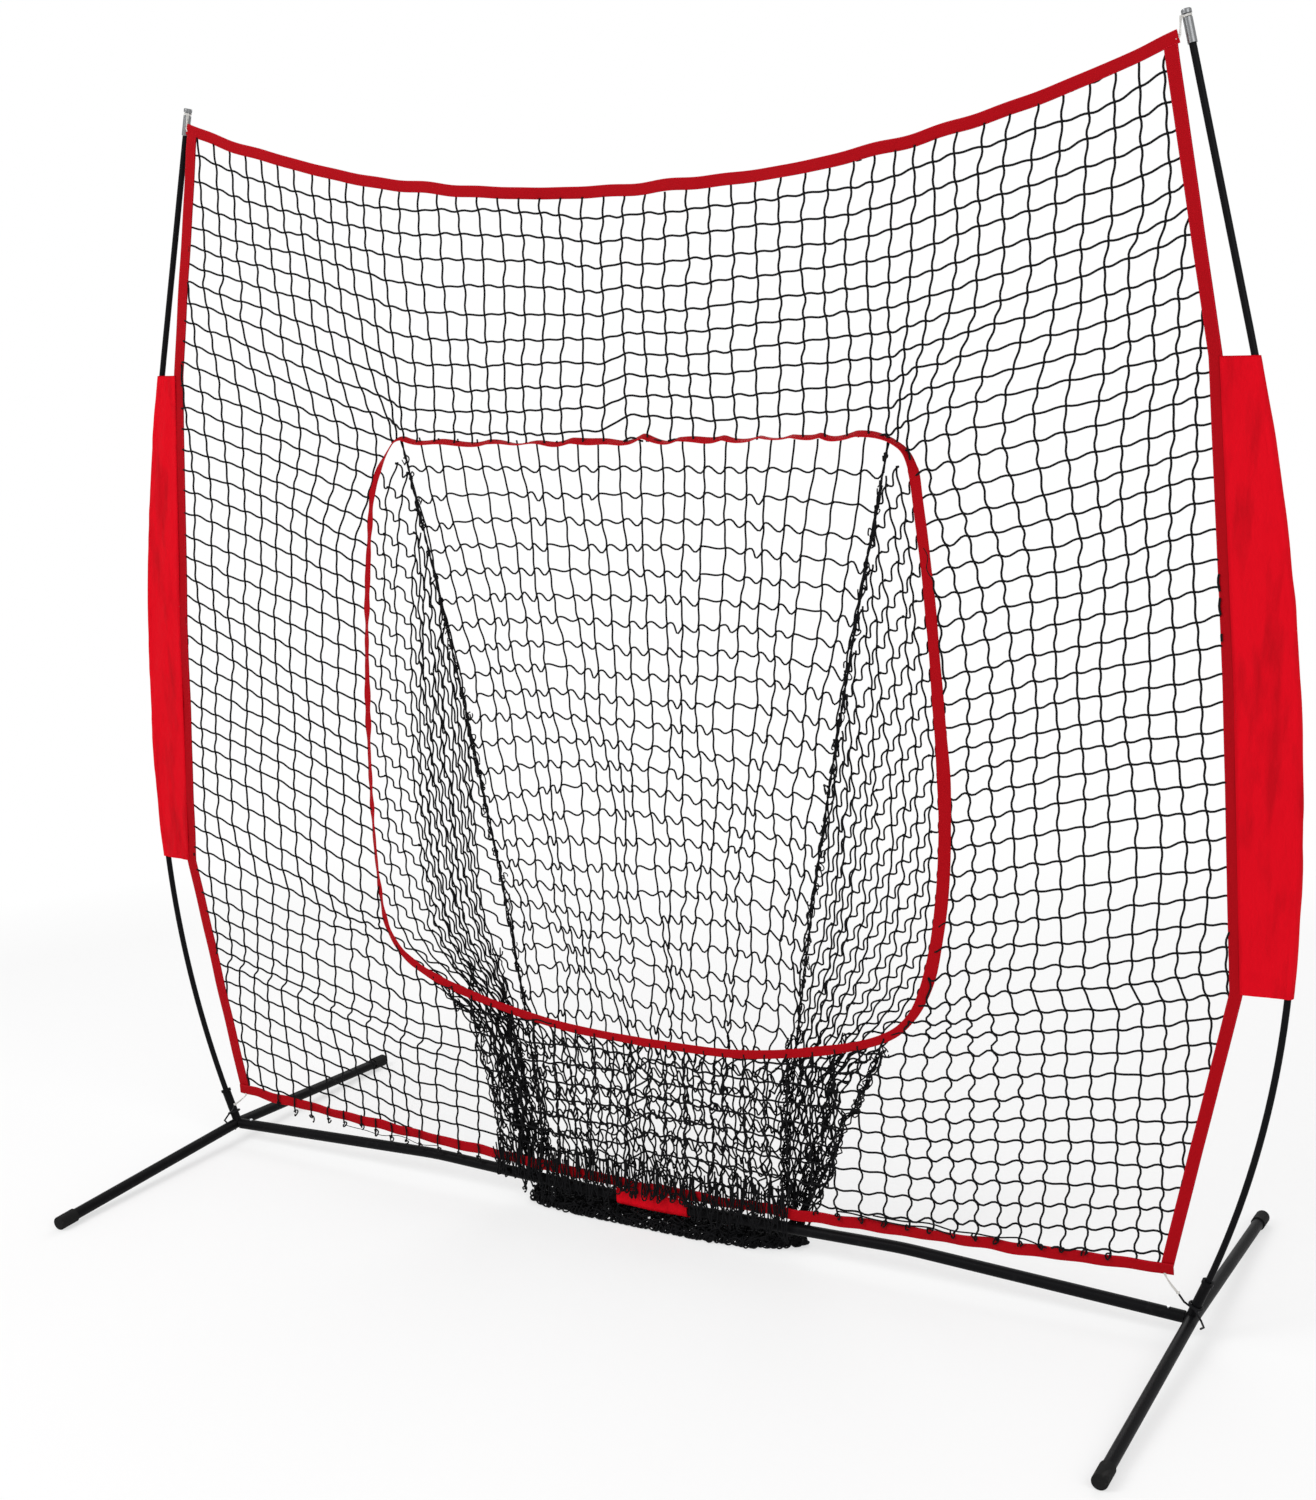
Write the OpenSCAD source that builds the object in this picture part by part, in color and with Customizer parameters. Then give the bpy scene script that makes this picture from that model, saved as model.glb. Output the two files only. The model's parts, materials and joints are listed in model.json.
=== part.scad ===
// Pitching target net: a red-bound square net on two bowed poles, with a ball pouch
// behind a rounded opening, standing on a steel tube base that pushes together.
// Origin on the ground under the middle of the crossbar, +X to the right, +Y to the back.

/* [Base] */
// Distance between the centre lines of the two feet
hub_spacing = 2108; // [1900:2:2300]
// Height of the foot tube's centre line at the hub
hub_z = 38; // [34:1:48]
// Overall front-to-back length of a foot
foot_length = 1040; // [800:10:1200]
// Outer diameter of the steel tubes
tube_d = 22; // [20:0.5:26]
// Wall of the steel tubes
tube_wall = 1.4; // [1:0.1:2]
// Outer diameter of the rubber foot caps
cap_d = 27; // [26:0.5:32]
// Length of a rubber foot cap
cap_length = 42; // [30:1:60]
// Thickness of the cap's closed end
cap_end = 3; // [2:0.5:5]
// Rounding of the cap's end
cap_rim = 3; // [1:0.5:5]
// Depth of the flat worn under each cap
cap_flat = 0.6; // [0.4:0.1:1]

/* [Crossbar] */
// Upward slope of each crossbar half from its hub
bar_rise = 2.4; // [1:0.1:3]
// Downward slope of each crossbar half from its bend to the middle
bar_fall = 1.5; // [0.5:0.1:2]
// Distance of the bend from the middle of the bar
bar_bend_x = 520; // [400:10:650]
// Radius of the bend
bar_bend_radius = 1000; // [600:50:1500]
// Length of the stub that each crossbar half slides on, from the hub's centre
stub_length = 78; // [70:1:110]
// Length of the splice tube inside each crossbar half
splice_half = 62; // [50:1:90]
// Distance of the hub's snap button from the hub's centre
button_reach = 42; // [34:1:46]
// Distance of the middle snap button from the middle of the bar
button_mid = 36; // [25:1:45]
// Space left for the weld between the foot tube and the crossbar's end
hub_weld = 1.5; // [1:0.5:4]

/* [Snap buttons] */
// Diameter of a snap button
button_d = 6.6; // [5:0.2:8]
// Height that a button stands above the crossbar
button_proud = 2.4; // [1.5:0.1:3.5]
// Rounding of a button's top
button_round = 1.2; // [0.6:0.2:2]
// Width of the flange at a button's foot, beyond the button
flange_out = 1.3; // [1:0.1:1.6]
// Thickness of the flange
flange_t = 1.4; // [1:0.1:1.8]
// Thickness of the leaf spring behind a button
spring_t = 0.6; // [0.4:0.1:0.8]
// Width of the leaf spring
spring_w = 5; // [4:0.5:6]
// Length of the leaf spring's free arm
spring_run = 14; // [10:1:20]

/* [Poles] */
// Overall height of the net frame
frame_height = 2134; // [2000:2:2300]
// Diameter of the glass fibre poles
pole_d = 11.5; // [10:0.5:13]
// Outward lean of a pole where it leaves the hub, in degrees
pole_splay = 22.5; // [20:0.5:25]
// Radius of the pole's lower bow
lower_radius = 1800; // [1600:20:2000]
// Sweep of the lower bow, in degrees
lower_sweep = 21.2; // [20:0.1:22.5]
// Radius of the pole's upper bow
upper_radius = 3730; // [3400:10:4000]
// Sweep of the middle pole section along the upper bow, in degrees
middle_sweep = 11.3; // [9:0.1:12]
// Sweep of the upper pole section before it runs straight, in degrees
top_sweep = 3.8; // [3:0.1:4.5]
// Height of a pole socket above the hub's centre
socket_height = 74; // [60:1:90]
// Wall of a pole socket
socket_wall = 2.6; // [2:0.1:4]
// Height of the collar round the top of a socket
collar_height = 6; // [4:0.5:10]
// Thickness of the collar round a socket
collar_t = 1.6; // [1:0.2:2.5]
// Length of the ferrule over a pole joint
ferrule_length = 56; // [40:1:80]
// Outer diameter of a ferrule
ferrule_d = 14; // [13.5:0.1:15]

/* [Pole tips] */
// Outer diameter of a tip
tip_d = 15; // [14:0.5:18]
// Overall length of a tip
tip_length = 50; // [40:1:60]
// Height of the tip's round head
head_height = 7; // [5:0.5:9]
// Height of the neck under the head
neck_height = 6; // [4:0.5:8]
// Diameter of the neck
neck_d = 9; // [7:0.5:11]
// Width that the head stands out past the tip's body
head_out = 0.6; // [0:0.2:1.5]
// Rounding of the head's top edge
head_round = 2; // [1:0.5:3]
// Thickness of the tip's body over the pole's end
tip_web = 4; // [3:0.5:8]

/* [Net] */
// Height of the net's lower corners
net_low_z = 127; // [110:1:150]
// Distance of the net's upper corners below the top of the frame
net_top_drop = 45; // [40:1:70]
// Drop of the net's upper edge in its middle
top_sag = 160; // [60:5:200]
// Drop of the net's lower edge in its middle
low_sag = 42; // [20:1:44]
// Distance of the net's lower corners inside the hub
corner_in = 44; // [30:1:80]
// Distance that the net reaches outside the hub at the sleeve's lower end
waist_out = 54; // [40:1:64]
// Distance that the net reaches outside the hub in the middle of the sleeve
middle_out = 24; // [10:1:40]
// Distance of the net inside the hub at the sleeve's upper end
shoulder_in = 17; // [5:1:30]
// Distance of the net's upper corners inside the pole tips
corner_gap = 29; // [27:1:40]
// Distance of the net's middle plane in front of the poles
net_forward = 14; // [13:0.5:20]
// Number of mesh columns
net_columns = 20; // [20:10:20]
// Number of mesh rows
net_rows = 19; // [19:1:20]
// Width of a net string
string_w = 6; // [4:0.5:8]
// Thickness of a net string
string_t = 3; // [2:0.5:4]
// Width of the red webbing round the net
webbing_w = 25; // [20:1:30]
// Thickness of the red webbing
webbing_t = 3; // [2:0.5:4]

/* [Sleeves] */
// Height of the sleeves' lower end
sleeve_low_z = 628; // [560:2:660]
// Height of the sleeves' upper end
sleeve_high_z = 1632; // [1560:2:1700]
// Thickness of the sleeve's cloth round the pole
sleeve_t = 1; // [0.8:0.1:2]

/* [Opening] */
// Height of the opening's upper edge
throat_top_z = 1512; // [1400:4:1560]
// Height of the opening's lower edge in its middle
throat_low_z = 382; // [340:2:420]
// Half the width of the opening at its upper corners
throat_top_half = 545; // [480:5:560]
// Half the width of the opening at its widest
throat_mid_half = 611; // [580:1:620]
// Half the width of the opening at its lower corners
throat_low_half = 592; // [560:2:600]
// Height of the opening's lower corners above its lowest point
throat_low_rise = 97; // [60:1:110]
// Width of the red tape round the opening
tape_w = 20; // [14:1:26]
// Thickness of the red tape
tape_t = 5; // [4.5:0.5:6]

/* [Pouch] */
// Half the width of the pouch's back panel at the ground
pouch_low_half = 276; // [240:2:290]
// Half the width of the pouch's front panel at the ground
pouch_foot_half = 300; // [292:2:330]
// Half the width of the pouch's back panel at the top
pouch_top_half = 500; // [460:5:505]
// Depth of the pouch at the ground
pouch_depth = 44; // [40:1:80]
// Height of the heap of slack net on the ground
heap_height = 30; // [20:1:30.5]
// Distance that the heap spreads in front of the crossbar's middle
heap_front = 18; // [10:1:40]
// Distance that the heap spreads behind the crossbar's middle
heap_back = 86; // [70:1:130]
// Half the length of the strap round the crossbar
strap_half = 78; // [50:1:100]
// Thickness of the strap's cloth
strap_t = 2; // [1:0.5:3]
// Slack of the strap under the crossbar
strap_slack = 2; // [0.4:0.2:2.5]

/* [Hooks and loops] */
// Diameter of the hook wire
wire_d = 3.6; // [3:0.2:4.5]
// Diameter of the elastic corner loops
cord_d = 3; // [2:0.5:4]

/* [Clearances] */
// Gap between a piece and its seat
seat_gap = 0.3; // [0.2:0.05:0.4]
// Gap round a tube that slides inside another
slide_gap = 0.4; // [0.3:0.05:0.6]

/* [Hidden] */

$fn = 48;
LEFT = -1;
RIGHT = 1;
FRONT = -1;
REAR = 1;

STEEL_BLACK = "#1c1c1e";
RUBBER_BLACK = "#0f0f10";
POLE_BLACK = "#111214";
BRIGHT_STEEL = "#b9bcc0";
NET_BLACK = "#17171a";
WEBBING_RED = "#b3121f";
SLEEVE_RED = "#d3152a";
LOOP_WHITE = "#e6e4de";

// Overshoot of every cut
cut = 1;

// Base
hub_x = hub_spacing / 2;
tube_r = tube_d / 2;
bore_r = tube_r - tube_wall;
cap_axis_z = cap_d / 2 - cap_flat;
foot_slope = atan((hub_z - cap_axis_z) / (foot_length / 2));
cap_r = cap_d / 2;
foot_half = cap_rim
    + (foot_length / 2 - cap_rim - (cap_r - cap_rim) * sin(foot_slope)) / cos(foot_slope);
stub_r = bore_r - slide_gap;
stub_bore_r = stub_r - tube_wall;

// Crossbar, in the plane through the hubs
bar_bend_z = hub_z + (hub_x - bar_bend_x) * tan(bar_rise);
bar_mid_z = bar_bend_z - bar_bend_x * tan(bar_fall);
bar_bend_cut = bar_bend_radius * tan((bar_rise + bar_fall) / 2);
bar_start = tube_r + seat_gap + hub_weld;

// Poles: a lower bow, an upper bow and a straight top
splay_z = hub_z + tube_r;
lower_centre = [hub_x - lower_radius * cos(pole_splay), splay_z + lower_radius * sin(pole_splay)];
lower_end = -pole_splay + lower_sweep;
join_lower = lower_centre + lower_radius * [cos(lower_end), sin(lower_end)];
upper_centre = join_lower - upper_radius * [cos(lower_end), sin(lower_end)];
middle_end = lower_end + middle_sweep;
join_upper = upper_centre + upper_radius * [cos(middle_end), sin(middle_end)];
bow_end = middle_end + top_sweep;
straight_start = upper_centre + upper_radius * [cos(bow_end), sin(bow_end)];
pole_r = pole_d / 2;
tip_r = tip_d / 2;
head_r = tip_r + head_out;
tip_body = tip_length - head_height - neck_height;
tip_bore_depth = tip_body - tip_web;
tip_base_z = frame_height - head_round
    - (tip_length - head_round) * cos(bow_end)
    - (head_r - head_round) * sin(bow_end);
straight_length = (tip_base_z - straight_start[1]) / cos(bow_end) + tip_bore_depth - seat_gap;

function pole_x(z) =
    z < join_lower[1]
    ? lower_centre[0] + sqrt(pow(lower_radius, 2) - pow(z - lower_centre[1], 2))
    : z < straight_start[1]
    ? upper_centre[0] + sqrt(pow(upper_radius, 2) - pow(z - upper_centre[1], 2))
    : straight_start[0] - (z - straight_start[1]) * tan(bow_end);

socket_top_z = hub_z + socket_height;
socket_lean = atan((pole_x(socket_top_z) - pole_x(splay_z)) / (socket_top_z - splay_z));
socket_foot = [pole_x(splay_z), 0, splay_z];
socket_length = (socket_top_z - splay_z) / cos(socket_lean);
pole_seat = 4;
bow_gap = slide_gap + 0.2;
socket_bore_r = pole_r + bow_gap;
socket_r = socket_bore_r + socket_wall;

// Net: mesh points from its corners, waist and sags
net_high_z = frame_height - net_top_drop;
middle_z = (sleeve_low_z + sleeve_high_z) / 2;
half_webbing = webbing_w / 2;
net_y = -net_forward;

function side_x(z) = lookup(z, [
    [net_low_z, hub_x - corner_in],
    [sleeve_low_z, hub_x + waist_out],
    [middle_z, hub_x + middle_out],
    [sleeve_high_z, hub_x - shoulder_in],
    [net_high_z, pole_x(net_high_z) - corner_gap],
]);
function row_share(j) = j / net_rows;
function row_z(j) = net_low_z + (net_high_z - net_low_z) * row_share(j);
function row_sag(j) = low_sag + (top_sag - low_sag) * row_share(j);
function row_power(j) = 1.5 + 0.7 * row_share(j);
function hang(x, j) = row_z(j) - row_sag(j) * (1 - pow(abs(x) / side_x(row_z(j)), row_power(j)));
function net_point(i, j) = let(x = side_x(row_z(j)) * (2 * i / net_columns - 1)) [x, hang(x, j)];
function mix(a, b, t) = a + (b - a) * t;

// Opening: four bowed edges and four rounded corners, grown outwards by m
throat_corner_r = 60;
throat_heel_r = 72;
top_crown = -8;
function curve(a, b, c, n) = [
    for (k = [0 : n - 1]) let(t = k / n) pow(1 - t, 2) * a + 2 * t * (1 - t) * b + t * t * c
];
function throat_right(m) = let(
    zt = throat_top_z + m,
    zl = throat_low_z - m,
    zc = throat_low_z + throat_low_rise - m * 0.6,
    xt = throat_top_half + m,
    xm = throat_mid_half + m,
    xl = throat_low_half + m * 0.9
) concat(
    curve([0, zt + top_crown], [xt * 0.5, zt + top_crown], [xt - throat_corner_r, zt], 4),
    curve([xt - throat_corner_r, zt], [xt, zt], [xt + 5, zt - throat_corner_r], 4),
    curve(
        [xt + 5, zt - throat_corner_r],
        [xm * 2 - (xt + xl) / 2 - 13, mix(zc + throat_heel_r, zt - throat_corner_r, 0.41)],
        [xl, zc + throat_heel_r], 10),
    curve([xl, zc + throat_heel_r], [xl - 2, zc + 6], [xl - throat_heel_r, zc - 12], 6),
    curve([xl - throat_heel_r, zc - 12], [xl * 0.41, zl], [0, zl], 6)
);
function throat(m) = let(right = concat(throat_right(m), [[0, throat_low_z - m]]))
    concat(right, [for (k = [len(right) - 2 : -1 : 1]) [-right[k][0], right[k][1]]]);

pouch_y = net_y + tape_t / 2 + seat_gap;

// Everything on the right is the left mirrored
module on_side(side) {
    mirror([side == LEFT ? 1 : 0, 0, 0]) children();
}

// A round rod between two points
module rod(a, b, d) {
    v = b - a;
    length = norm(v);
    translate(a)
        rotate([0, acos(v[2] / length), atan2(v[1], v[0])])
            cylinder(h = length, d = d);
}

// A rod bent at its points, with round ends and a little swell at each bend
bend_swell = 0.24;
module bent_wire(points, d) {
    for (k = [0 : len(points) - 2]) rod(points[k], points[k + 1], d);
    for (p = points) translate(p) sphere(d = d + bend_swell);
}

// A rod along part of a circle in the plane through the hubs
module arc_rod(centre, radius, from, sweep, d) {
    translate([centre[0], 0, centre[1]])
        rotate([90, 0, 0])
            rotate([0, 0, from])
                rotate_extrude(angle = sweep, $fn = 720)
                    translate([radius, 0])
                        circle(d = d, $fn = 48);
}
function along(length, radius) = length / radius * 180 / PI;

// The foot's two straight runs, falling from the hub, mitred where they meet
module foot_bar(d, reach) {
    lap = d / 2;
    for (way = [FRONT, REAR])
        intersection() {
            translate([hub_x, 0, hub_z])
                rotate([-way * (90 + foot_slope), 0, 0])
                    translate([0, 0, -lap])
                        cylinder(h = reach + lap, d = d);
            translate([hub_x - d, way == FRONT ? -foot_length : 0, -foot_length / 2])
                cube([2 * d, foot_length, foot_length]);
        }
}

module foot_tube(side) {
    color(STEEL_BLACK)
        on_side(side)
            difference() {
                foot_bar(tube_d, foot_half - cap_end - seat_gap);
                foot_bar(2 * bore_r, foot_half);
            }
}

// A rounded block of a lathe profile: r wide, from the axis, its outer top corner rounded
module round_corner(r, height, round) {
    square([r - round, height]);
    square([r, height - round]);
    translate([r - round, height - round])
        intersection() {
            circle(r = round);
            square(round);
        }
}

// A rubber cap whose tread is worn flat where it stands
module foot_cap(side, way) {
    color(RUBBER_BLACK)
        on_side(side)
            difference() {
                translate([hub_x, 0, hub_z])
                    rotate([-way * (90 + foot_slope), 0, 0])
                        translate([0, 0, foot_half - cap_length])
                            difference() {
                                rotate_extrude() round_corner(cap_r, cap_length, cap_rim);
                                translate([0, 0, -cut])
                                    cylinder(h = cap_length - cap_end + cut, r = tube_r + seat_gap);
                            }
                translate([hub_x - cap_d, way * foot_length / 2 - 1.5 * cap_length, -cap_d])
                    cube([2 * cap_d, 3 * cap_length, cap_d]);
            }
}

// Frames with +Z along the bar and +X upwards: from the hub inwards, and from the middle outwards
module hub_frame() {
    translate([hub_x, 0, hub_z])
        rotate([0, bar_rise - 90, 0])
            children();
}
module middle_frame() {
    translate([0, 0, bar_mid_z])
        rotate([0, 90 - bar_fall, 0])
            rotate([0, 0, 180])
                children();
}
module button_hole(reach) {
    translate([0, 0, reach])
        rotate([0, 90, 0])
            cylinder(h = tube_d, d = button_d + 2 * seat_gap);
}

module bar_stub(side) {
    color(STEEL_BLACK)
        on_side(side)
            difference() {
                hub_frame() cylinder(h = stub_length, r = stub_r);
                hub_frame() translate([0, 0, -cut]) cylinder(h = stub_length + 2 * cut, r = stub_bore_r);
                hub_frame() button_hole(button_reach);
                foot_bar(tube_d + 2 * seat_gap, foot_half);
            }
}

module pole_socket(side) {
    run_down = tube_r + cut;
    color(STEEL_BLACK)
        on_side(side)
            difference() {
                translate(socket_foot)
                    rotate([0, socket_lean, 0])
                        difference() {
                            union() {
                                translate([0, 0, -run_down])
                                    cylinder(h = socket_length + run_down, r = socket_r);
                                translate([0, 0, socket_length - collar_height])
                                    cylinder(h = collar_height, r = socket_r + collar_t);
                            }
                            translate([0, 0, -run_down - cut])
                                cylinder(h = socket_length + run_down + 2 * cut, r = socket_bore_r);
                        }
                foot_bar(tube_d + 2 * seat_gap, foot_half);
                hub_frame() cylinder(h = stub_length, r = stub_r + seat_gap);
            }
}

// The whole run of one crossbar half, rising to its bend and falling to the middle
bend_ease = 0.02;
module bar_run(r, from, ease) {
    rise_length = (hub_x - bar_bend_x) / cos(bar_rise);
    fall_length = bar_bend_x / cos(bar_fall) - bar_bend_cut;
    bend_centre = [
        bar_bend_x + bar_bend_cut * cos(bar_rise) - bar_bend_radius * sin(bar_rise),
        bar_bend_z - bar_bend_cut * sin(bar_rise) - bar_bend_radius * cos(bar_rise),
    ];
    hub_frame()
        translate([0, 0, from])
            cylinder(h = rise_length - bar_bend_cut - from + 2 * cut, r = r);
    arc_rod(bend_centre, bar_bend_radius, 90 - bar_rise, bar_rise + bar_fall, 2 * (r + ease));
    middle_frame()
        translate([0, 0, -cut])
            cylinder(h = fall_length + 3 * cut, r = r);
}

module crossbar(side) {
    color(STEEL_BLACK)
        on_side(side)
            difference() {
                bar_run(tube_r, bar_start, -bend_ease);
                bar_run(bore_r, bar_start - cut, bend_ease);
                hub_frame() button_hole(button_reach);
                if (side == LEFT) middle_frame() button_hole(button_mid);
                translate([seat_gap / 2 - tube_d, -tube_d, bar_mid_z - tube_d])
                    cube([tube_d, 2 * tube_d, 2 * tube_d]);
            }
}

module crossbar_splice() {
    color(STEEL_BLACK)
        difference() {
            splice_run(stub_r, splice_half);
            splice_run(stub_bore_r, splice_half + cut);
            on_side(LEFT) middle_frame() button_hole(button_mid);
        }
}
// The splice's two straight runs, rising from the middle, mitred where they meet
module splice_run(r, reach) {
    for (side = [LEFT, RIGHT])
        intersection() {
            on_side(side)
                middle_frame()
                    translate([0, 0, -r])
                        cylinder(h = reach + r, r = r);
            translate([side == LEFT ? -reach - r : 0, -2 * r, bar_mid_z - reach])
                cube([reach + r, 4 * r, 2 * reach]);
        }
}

// Snap button: a domed pin with a flange that rests under the inner tube's wall
button_r = button_d / 2;
flange_r = button_r + flange_out;
flange_top = sqrt(pow(stub_bore_r - seat_gap, 2) - pow(flange_r, 2));
flange_low = flange_top - flange_t;
spring_low = sqrt(pow(stub_bore_r - seat_gap, 2) - pow(spring_w / 2, 2));
spring_high = flange_top - (flange_t - spring_t) / 2;
module pin(reach) {
    translate([0, 0, reach])
        rotate([0, 90, 0])
            rotate_extrude()
                translate([0, flange_low])
                    union() {
                        square([flange_r, flange_t]);
                        round_corner(button_r, tube_r + button_proud - flange_low, button_round);
                    }
}
module snap_button(place) {
    color(BRIGHT_STEEL)
        if (place == 0) on_side(LEFT) middle_frame() pin(button_mid);
        else on_side(place) hub_frame() pin(button_reach);
}

// Leaf spring: a strip folded back on itself, its free end beside the button's flange
module leaf(reach) {
    fold_r = (spring_high + spring_low) / 2;
    free_end = reach + flange_r + seat_gap;
    fold_z = free_end + spring_run;
    translate([-spring_low, -spring_w / 2, reach - flange_r])
        cube([spring_t, spring_w, fold_z - reach + flange_r]);
    translate([spring_high - spring_t, -spring_w / 2, free_end])
        cube([spring_t, spring_w, spring_run]);
    translate([spring_high - fold_r, spring_w / 2, fold_z])
        rotate([90, 0, 0])
            rotate_extrude(angle = 180)
                translate([fold_r - spring_t, 0])
                    square([spring_t, spring_w]);
}
module snap_spring(place) {
    color(BRIGHT_STEEL)
        if (place == 0) on_side(LEFT) middle_frame() leaf(button_mid);
        else on_side(place) hub_frame() leaf(button_reach);
}

// Pole sections meet inside their ferrules with a small gap
module pole_lower(side) {
    seat = along(pole_seat, lower_radius);
    color(POLE_BLACK)
        on_side(side)
            arc_rod(lower_centre, lower_radius, -pole_splay + seat,
                lower_sweep - seat - along(seat_gap / 2, lower_radius), pole_d);
}
module pole_middle(side) {
    half_gap = along(seat_gap / 2, upper_radius);
    color(POLE_BLACK)
        on_side(side)
            arc_rod(upper_centre, upper_radius, lower_end + half_gap,
                middle_sweep - 2 * half_gap, pole_d);
}
module pole_upper(side) {
    half_gap = along(seat_gap / 2, upper_radius);
    color(POLE_BLACK)
        on_side(side) {
            arc_rod(upper_centre, upper_radius, middle_end + half_gap, top_sweep - half_gap,
                pole_d - 2 * bend_ease);
            on_pole(straight_start, bow_end)
                translate([0, 0, -2 * cut])
                    cylinder(h = straight_length + 2 * cut, d = pole_d);
        }
}

// A frame on the pole with +Z along it
module on_pole(at, lean) {
    translate([at[0], 0, at[1]])
        rotate([0, -lean, 0])
            children();
}

module ferrule(side, at, lean) {
    color(BRIGHT_STEEL)
        on_side(side)
            on_pole(at, lean)
                translate([0, 0, -ferrule_length / 2])
                    difference() {
                        cylinder(h = ferrule_length, d = ferrule_d);
                        translate([0, 0, -1])
                            cylinder(h = ferrule_length + 2 * cut, r = pole_r + bow_gap);
                    }
}

module pole_tip(side) {
    color(BRIGHT_STEEL)
        on_side(side)
            on_pole([pole_x(tip_base_z), tip_base_z], bow_end)
                difference() {
                    rotate_extrude()
                        union() {
                            square([tip_r, tip_body]);
                            square([neck_d / 2, tip_length - head_round]);
                            translate([0, tip_length - head_height])
                                round_corner(head_r, head_height, head_round);
                        }
                    translate([0, 0, -cut])
                        cylinder(h = tip_bore_depth + cut, r = pole_r + seat_gap);
                }
}

// Double hook of black wire held by an eye round the pole socket
hook_fork = [hub_x - 10, -20, hub_z + 38];
hook_tip = [-8, -2, 12];
hook_eye_z = hub_z + 25;
module net_hook(side) {
    eye_d = wire_d + 1;
    eye_r = socket_r + seat_gap + eye_d / 2;
    eye_x = socket_foot[0] + (hook_eye_z - splay_z) * tan(socket_lean);
    color(RUBBER_BLACK)
        on_side(side) {
            translate([eye_x, 0, hook_eye_z])
                rotate([0, socket_lean, 0])
                    rotate_extrude()
                        translate([eye_r, 0])
                            circle(d = eye_d);
            bent_wire([
                hook_fork + hook_tip,
                hook_fork,
                [eye_x + 2, -eye_r - 2.4, hook_eye_z - 1],
                [hub_x + 19, -17, hub_z + 8],
                [hub_x + 20, 0, hub_z - 12],
                [hub_x + 13, 8, hub_z - 20],
            ], wire_d);
        }
}

// Elastic loops between the net's corners and the frame
module loop_top(side) {
    neck_at = tip_length - head_height - neck_height / 2;
    ring_r = neck_d / 2 + seat_gap + cord_d / 2;
    strand_d = cord_d - seat_gap;
    neck = [
        pole_x(tip_base_z) - neck_at * sin(bow_end),
        0,
        tip_base_z + neck_at * cos(bow_end),
    ];
    out = [-0.69 * cos(bow_end), -0.73, -0.69 * sin(bow_end)];
    corner = [
        side_x(net_high_z) + half_webbing + seat_gap + cord_d / 2,
        net_y,
        net_high_z + 6,
    ];
    color(LOOP_WHITE)
        on_side(side) {
            on_pole([neck[0], neck[2]], bow_end)
                rotate_extrude()
                    translate([ring_r, 0])
                        circle(d = cord_d);
            rod(neck + ring_r * out, neck + 1.7 * ring_r * out, strand_d);
            bent_wire([neck + 1.7 * ring_r * out, corner], strand_d);
        }
}
module loop_bottom(side) {
    knot_d = 4.4;
    knot = hook_fork + 1.3 * hook_tip;
    corner = [
        side_x(net_low_z),
        net_y,
        net_low_z - half_webbing - seat_gap - cord_d / 2,
    ];
    color(LOOP_WHITE)
        on_side(side) {
            bent_wire([knot, corner], cord_d);
            translate(knot) sphere(d = knot_d);
        }
}

// Flat pieces of the net, t thick about its plane
module in_net_plane(t) {
    translate([0, net_y + t / 2, 0])
        rotate([90, 0, 0])
            linear_extrude(t)
                children();
}

// The net inside its webbing
edge_in = half_webbing + 1.5 * seat_gap;
function net_outline() = let(
    low_half = side_x(net_low_z + half_webbing) - edge_in,
    high_half = side_x(net_high_z - half_webbing) - edge_in,
    n = net_columns
) concat(
    [for (i = [0 : n]) let(x = low_half * (2 * i / n - 1)) [x, hang(x, 0) + edge_in]],
    [for (j = [1 : net_rows - 1]) [side_x(row_z(j)) - edge_in, row_z(j)]],
    [for (i = [n : -1 : 0]) let(x = high_half * (2 * i / n - 1)) [x, hang(x, net_rows) - edge_in]],
    [for (j = [net_rows - 1 : -1 : 1]) [edge_in - side_x(row_z(j)), row_z(j)]]
);
module gap(i, j) {
    h = string_w / 2;
    polygon([
        net_point(i, j) + [h, h],
        net_point(i + 1, j) + [-h, h],
        net_point(i + 1, j + 1) + [-h, -h],
        net_point(i, j + 1) + [h, -h],
    ]);
}

// Mesh lines along which the net is divided into its panels
side_column = net_columns / 5;
end_column = net_columns - side_column;
low_column = round(net_columns * 0.35);
high_column = net_columns - low_column;
low_row = 4;
high_row = net_rows - 5;
function row_run(j, from, to) = [
    for (i = [from : from < to ? 1 : -1 : to]) net_point(i, j)
];
function column_run(i, from, to) = [
    for (j = [from : from < to ? 1 : -1 : to]) net_point(i, j)
];
function block(i0, i1, j0, j1) = concat(
    row_run(j0, i0, i1), column_run(i1, j0, j1), row_run(j1, i1, i0), column_run(i0, j1, j0)
);
module net_panel(i0, i1, j0, j1, inner = [0, 0, 0, 0]) {
    color(NET_BLACK)
        in_net_plane(string_t)
            intersection() {
                union() {
                    polygon(block(i0, i1, j0, j1));
                    if (inner[1] > inner[0]) polygon(block(inner[0], inner[1], inner[2], inner[3]));
                }
                difference() {
                    polygon(net_outline());
                    polygon(throat(tape_w / 2 + seat_gap));
                    for (i = [0 : net_columns - 1], j = [0 : net_rows - 1]) gap(i, j);
                }
            }
}
module net_over() {
    net_panel(side_column, end_column, high_row, net_rows);
}
module net_under(from, to) {
    net_panel(from, to, 0, low_row);
}
module net_side(side) {
    middle = net_columns / 2;
    if (side == LEFT) net_panel(0, side_column, 0, net_rows, [side_column, middle, low_row, high_row]);
    else net_panel(end_column, net_columns, 0, net_rows, [middle, end_column, low_row, high_row]);
}

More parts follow.
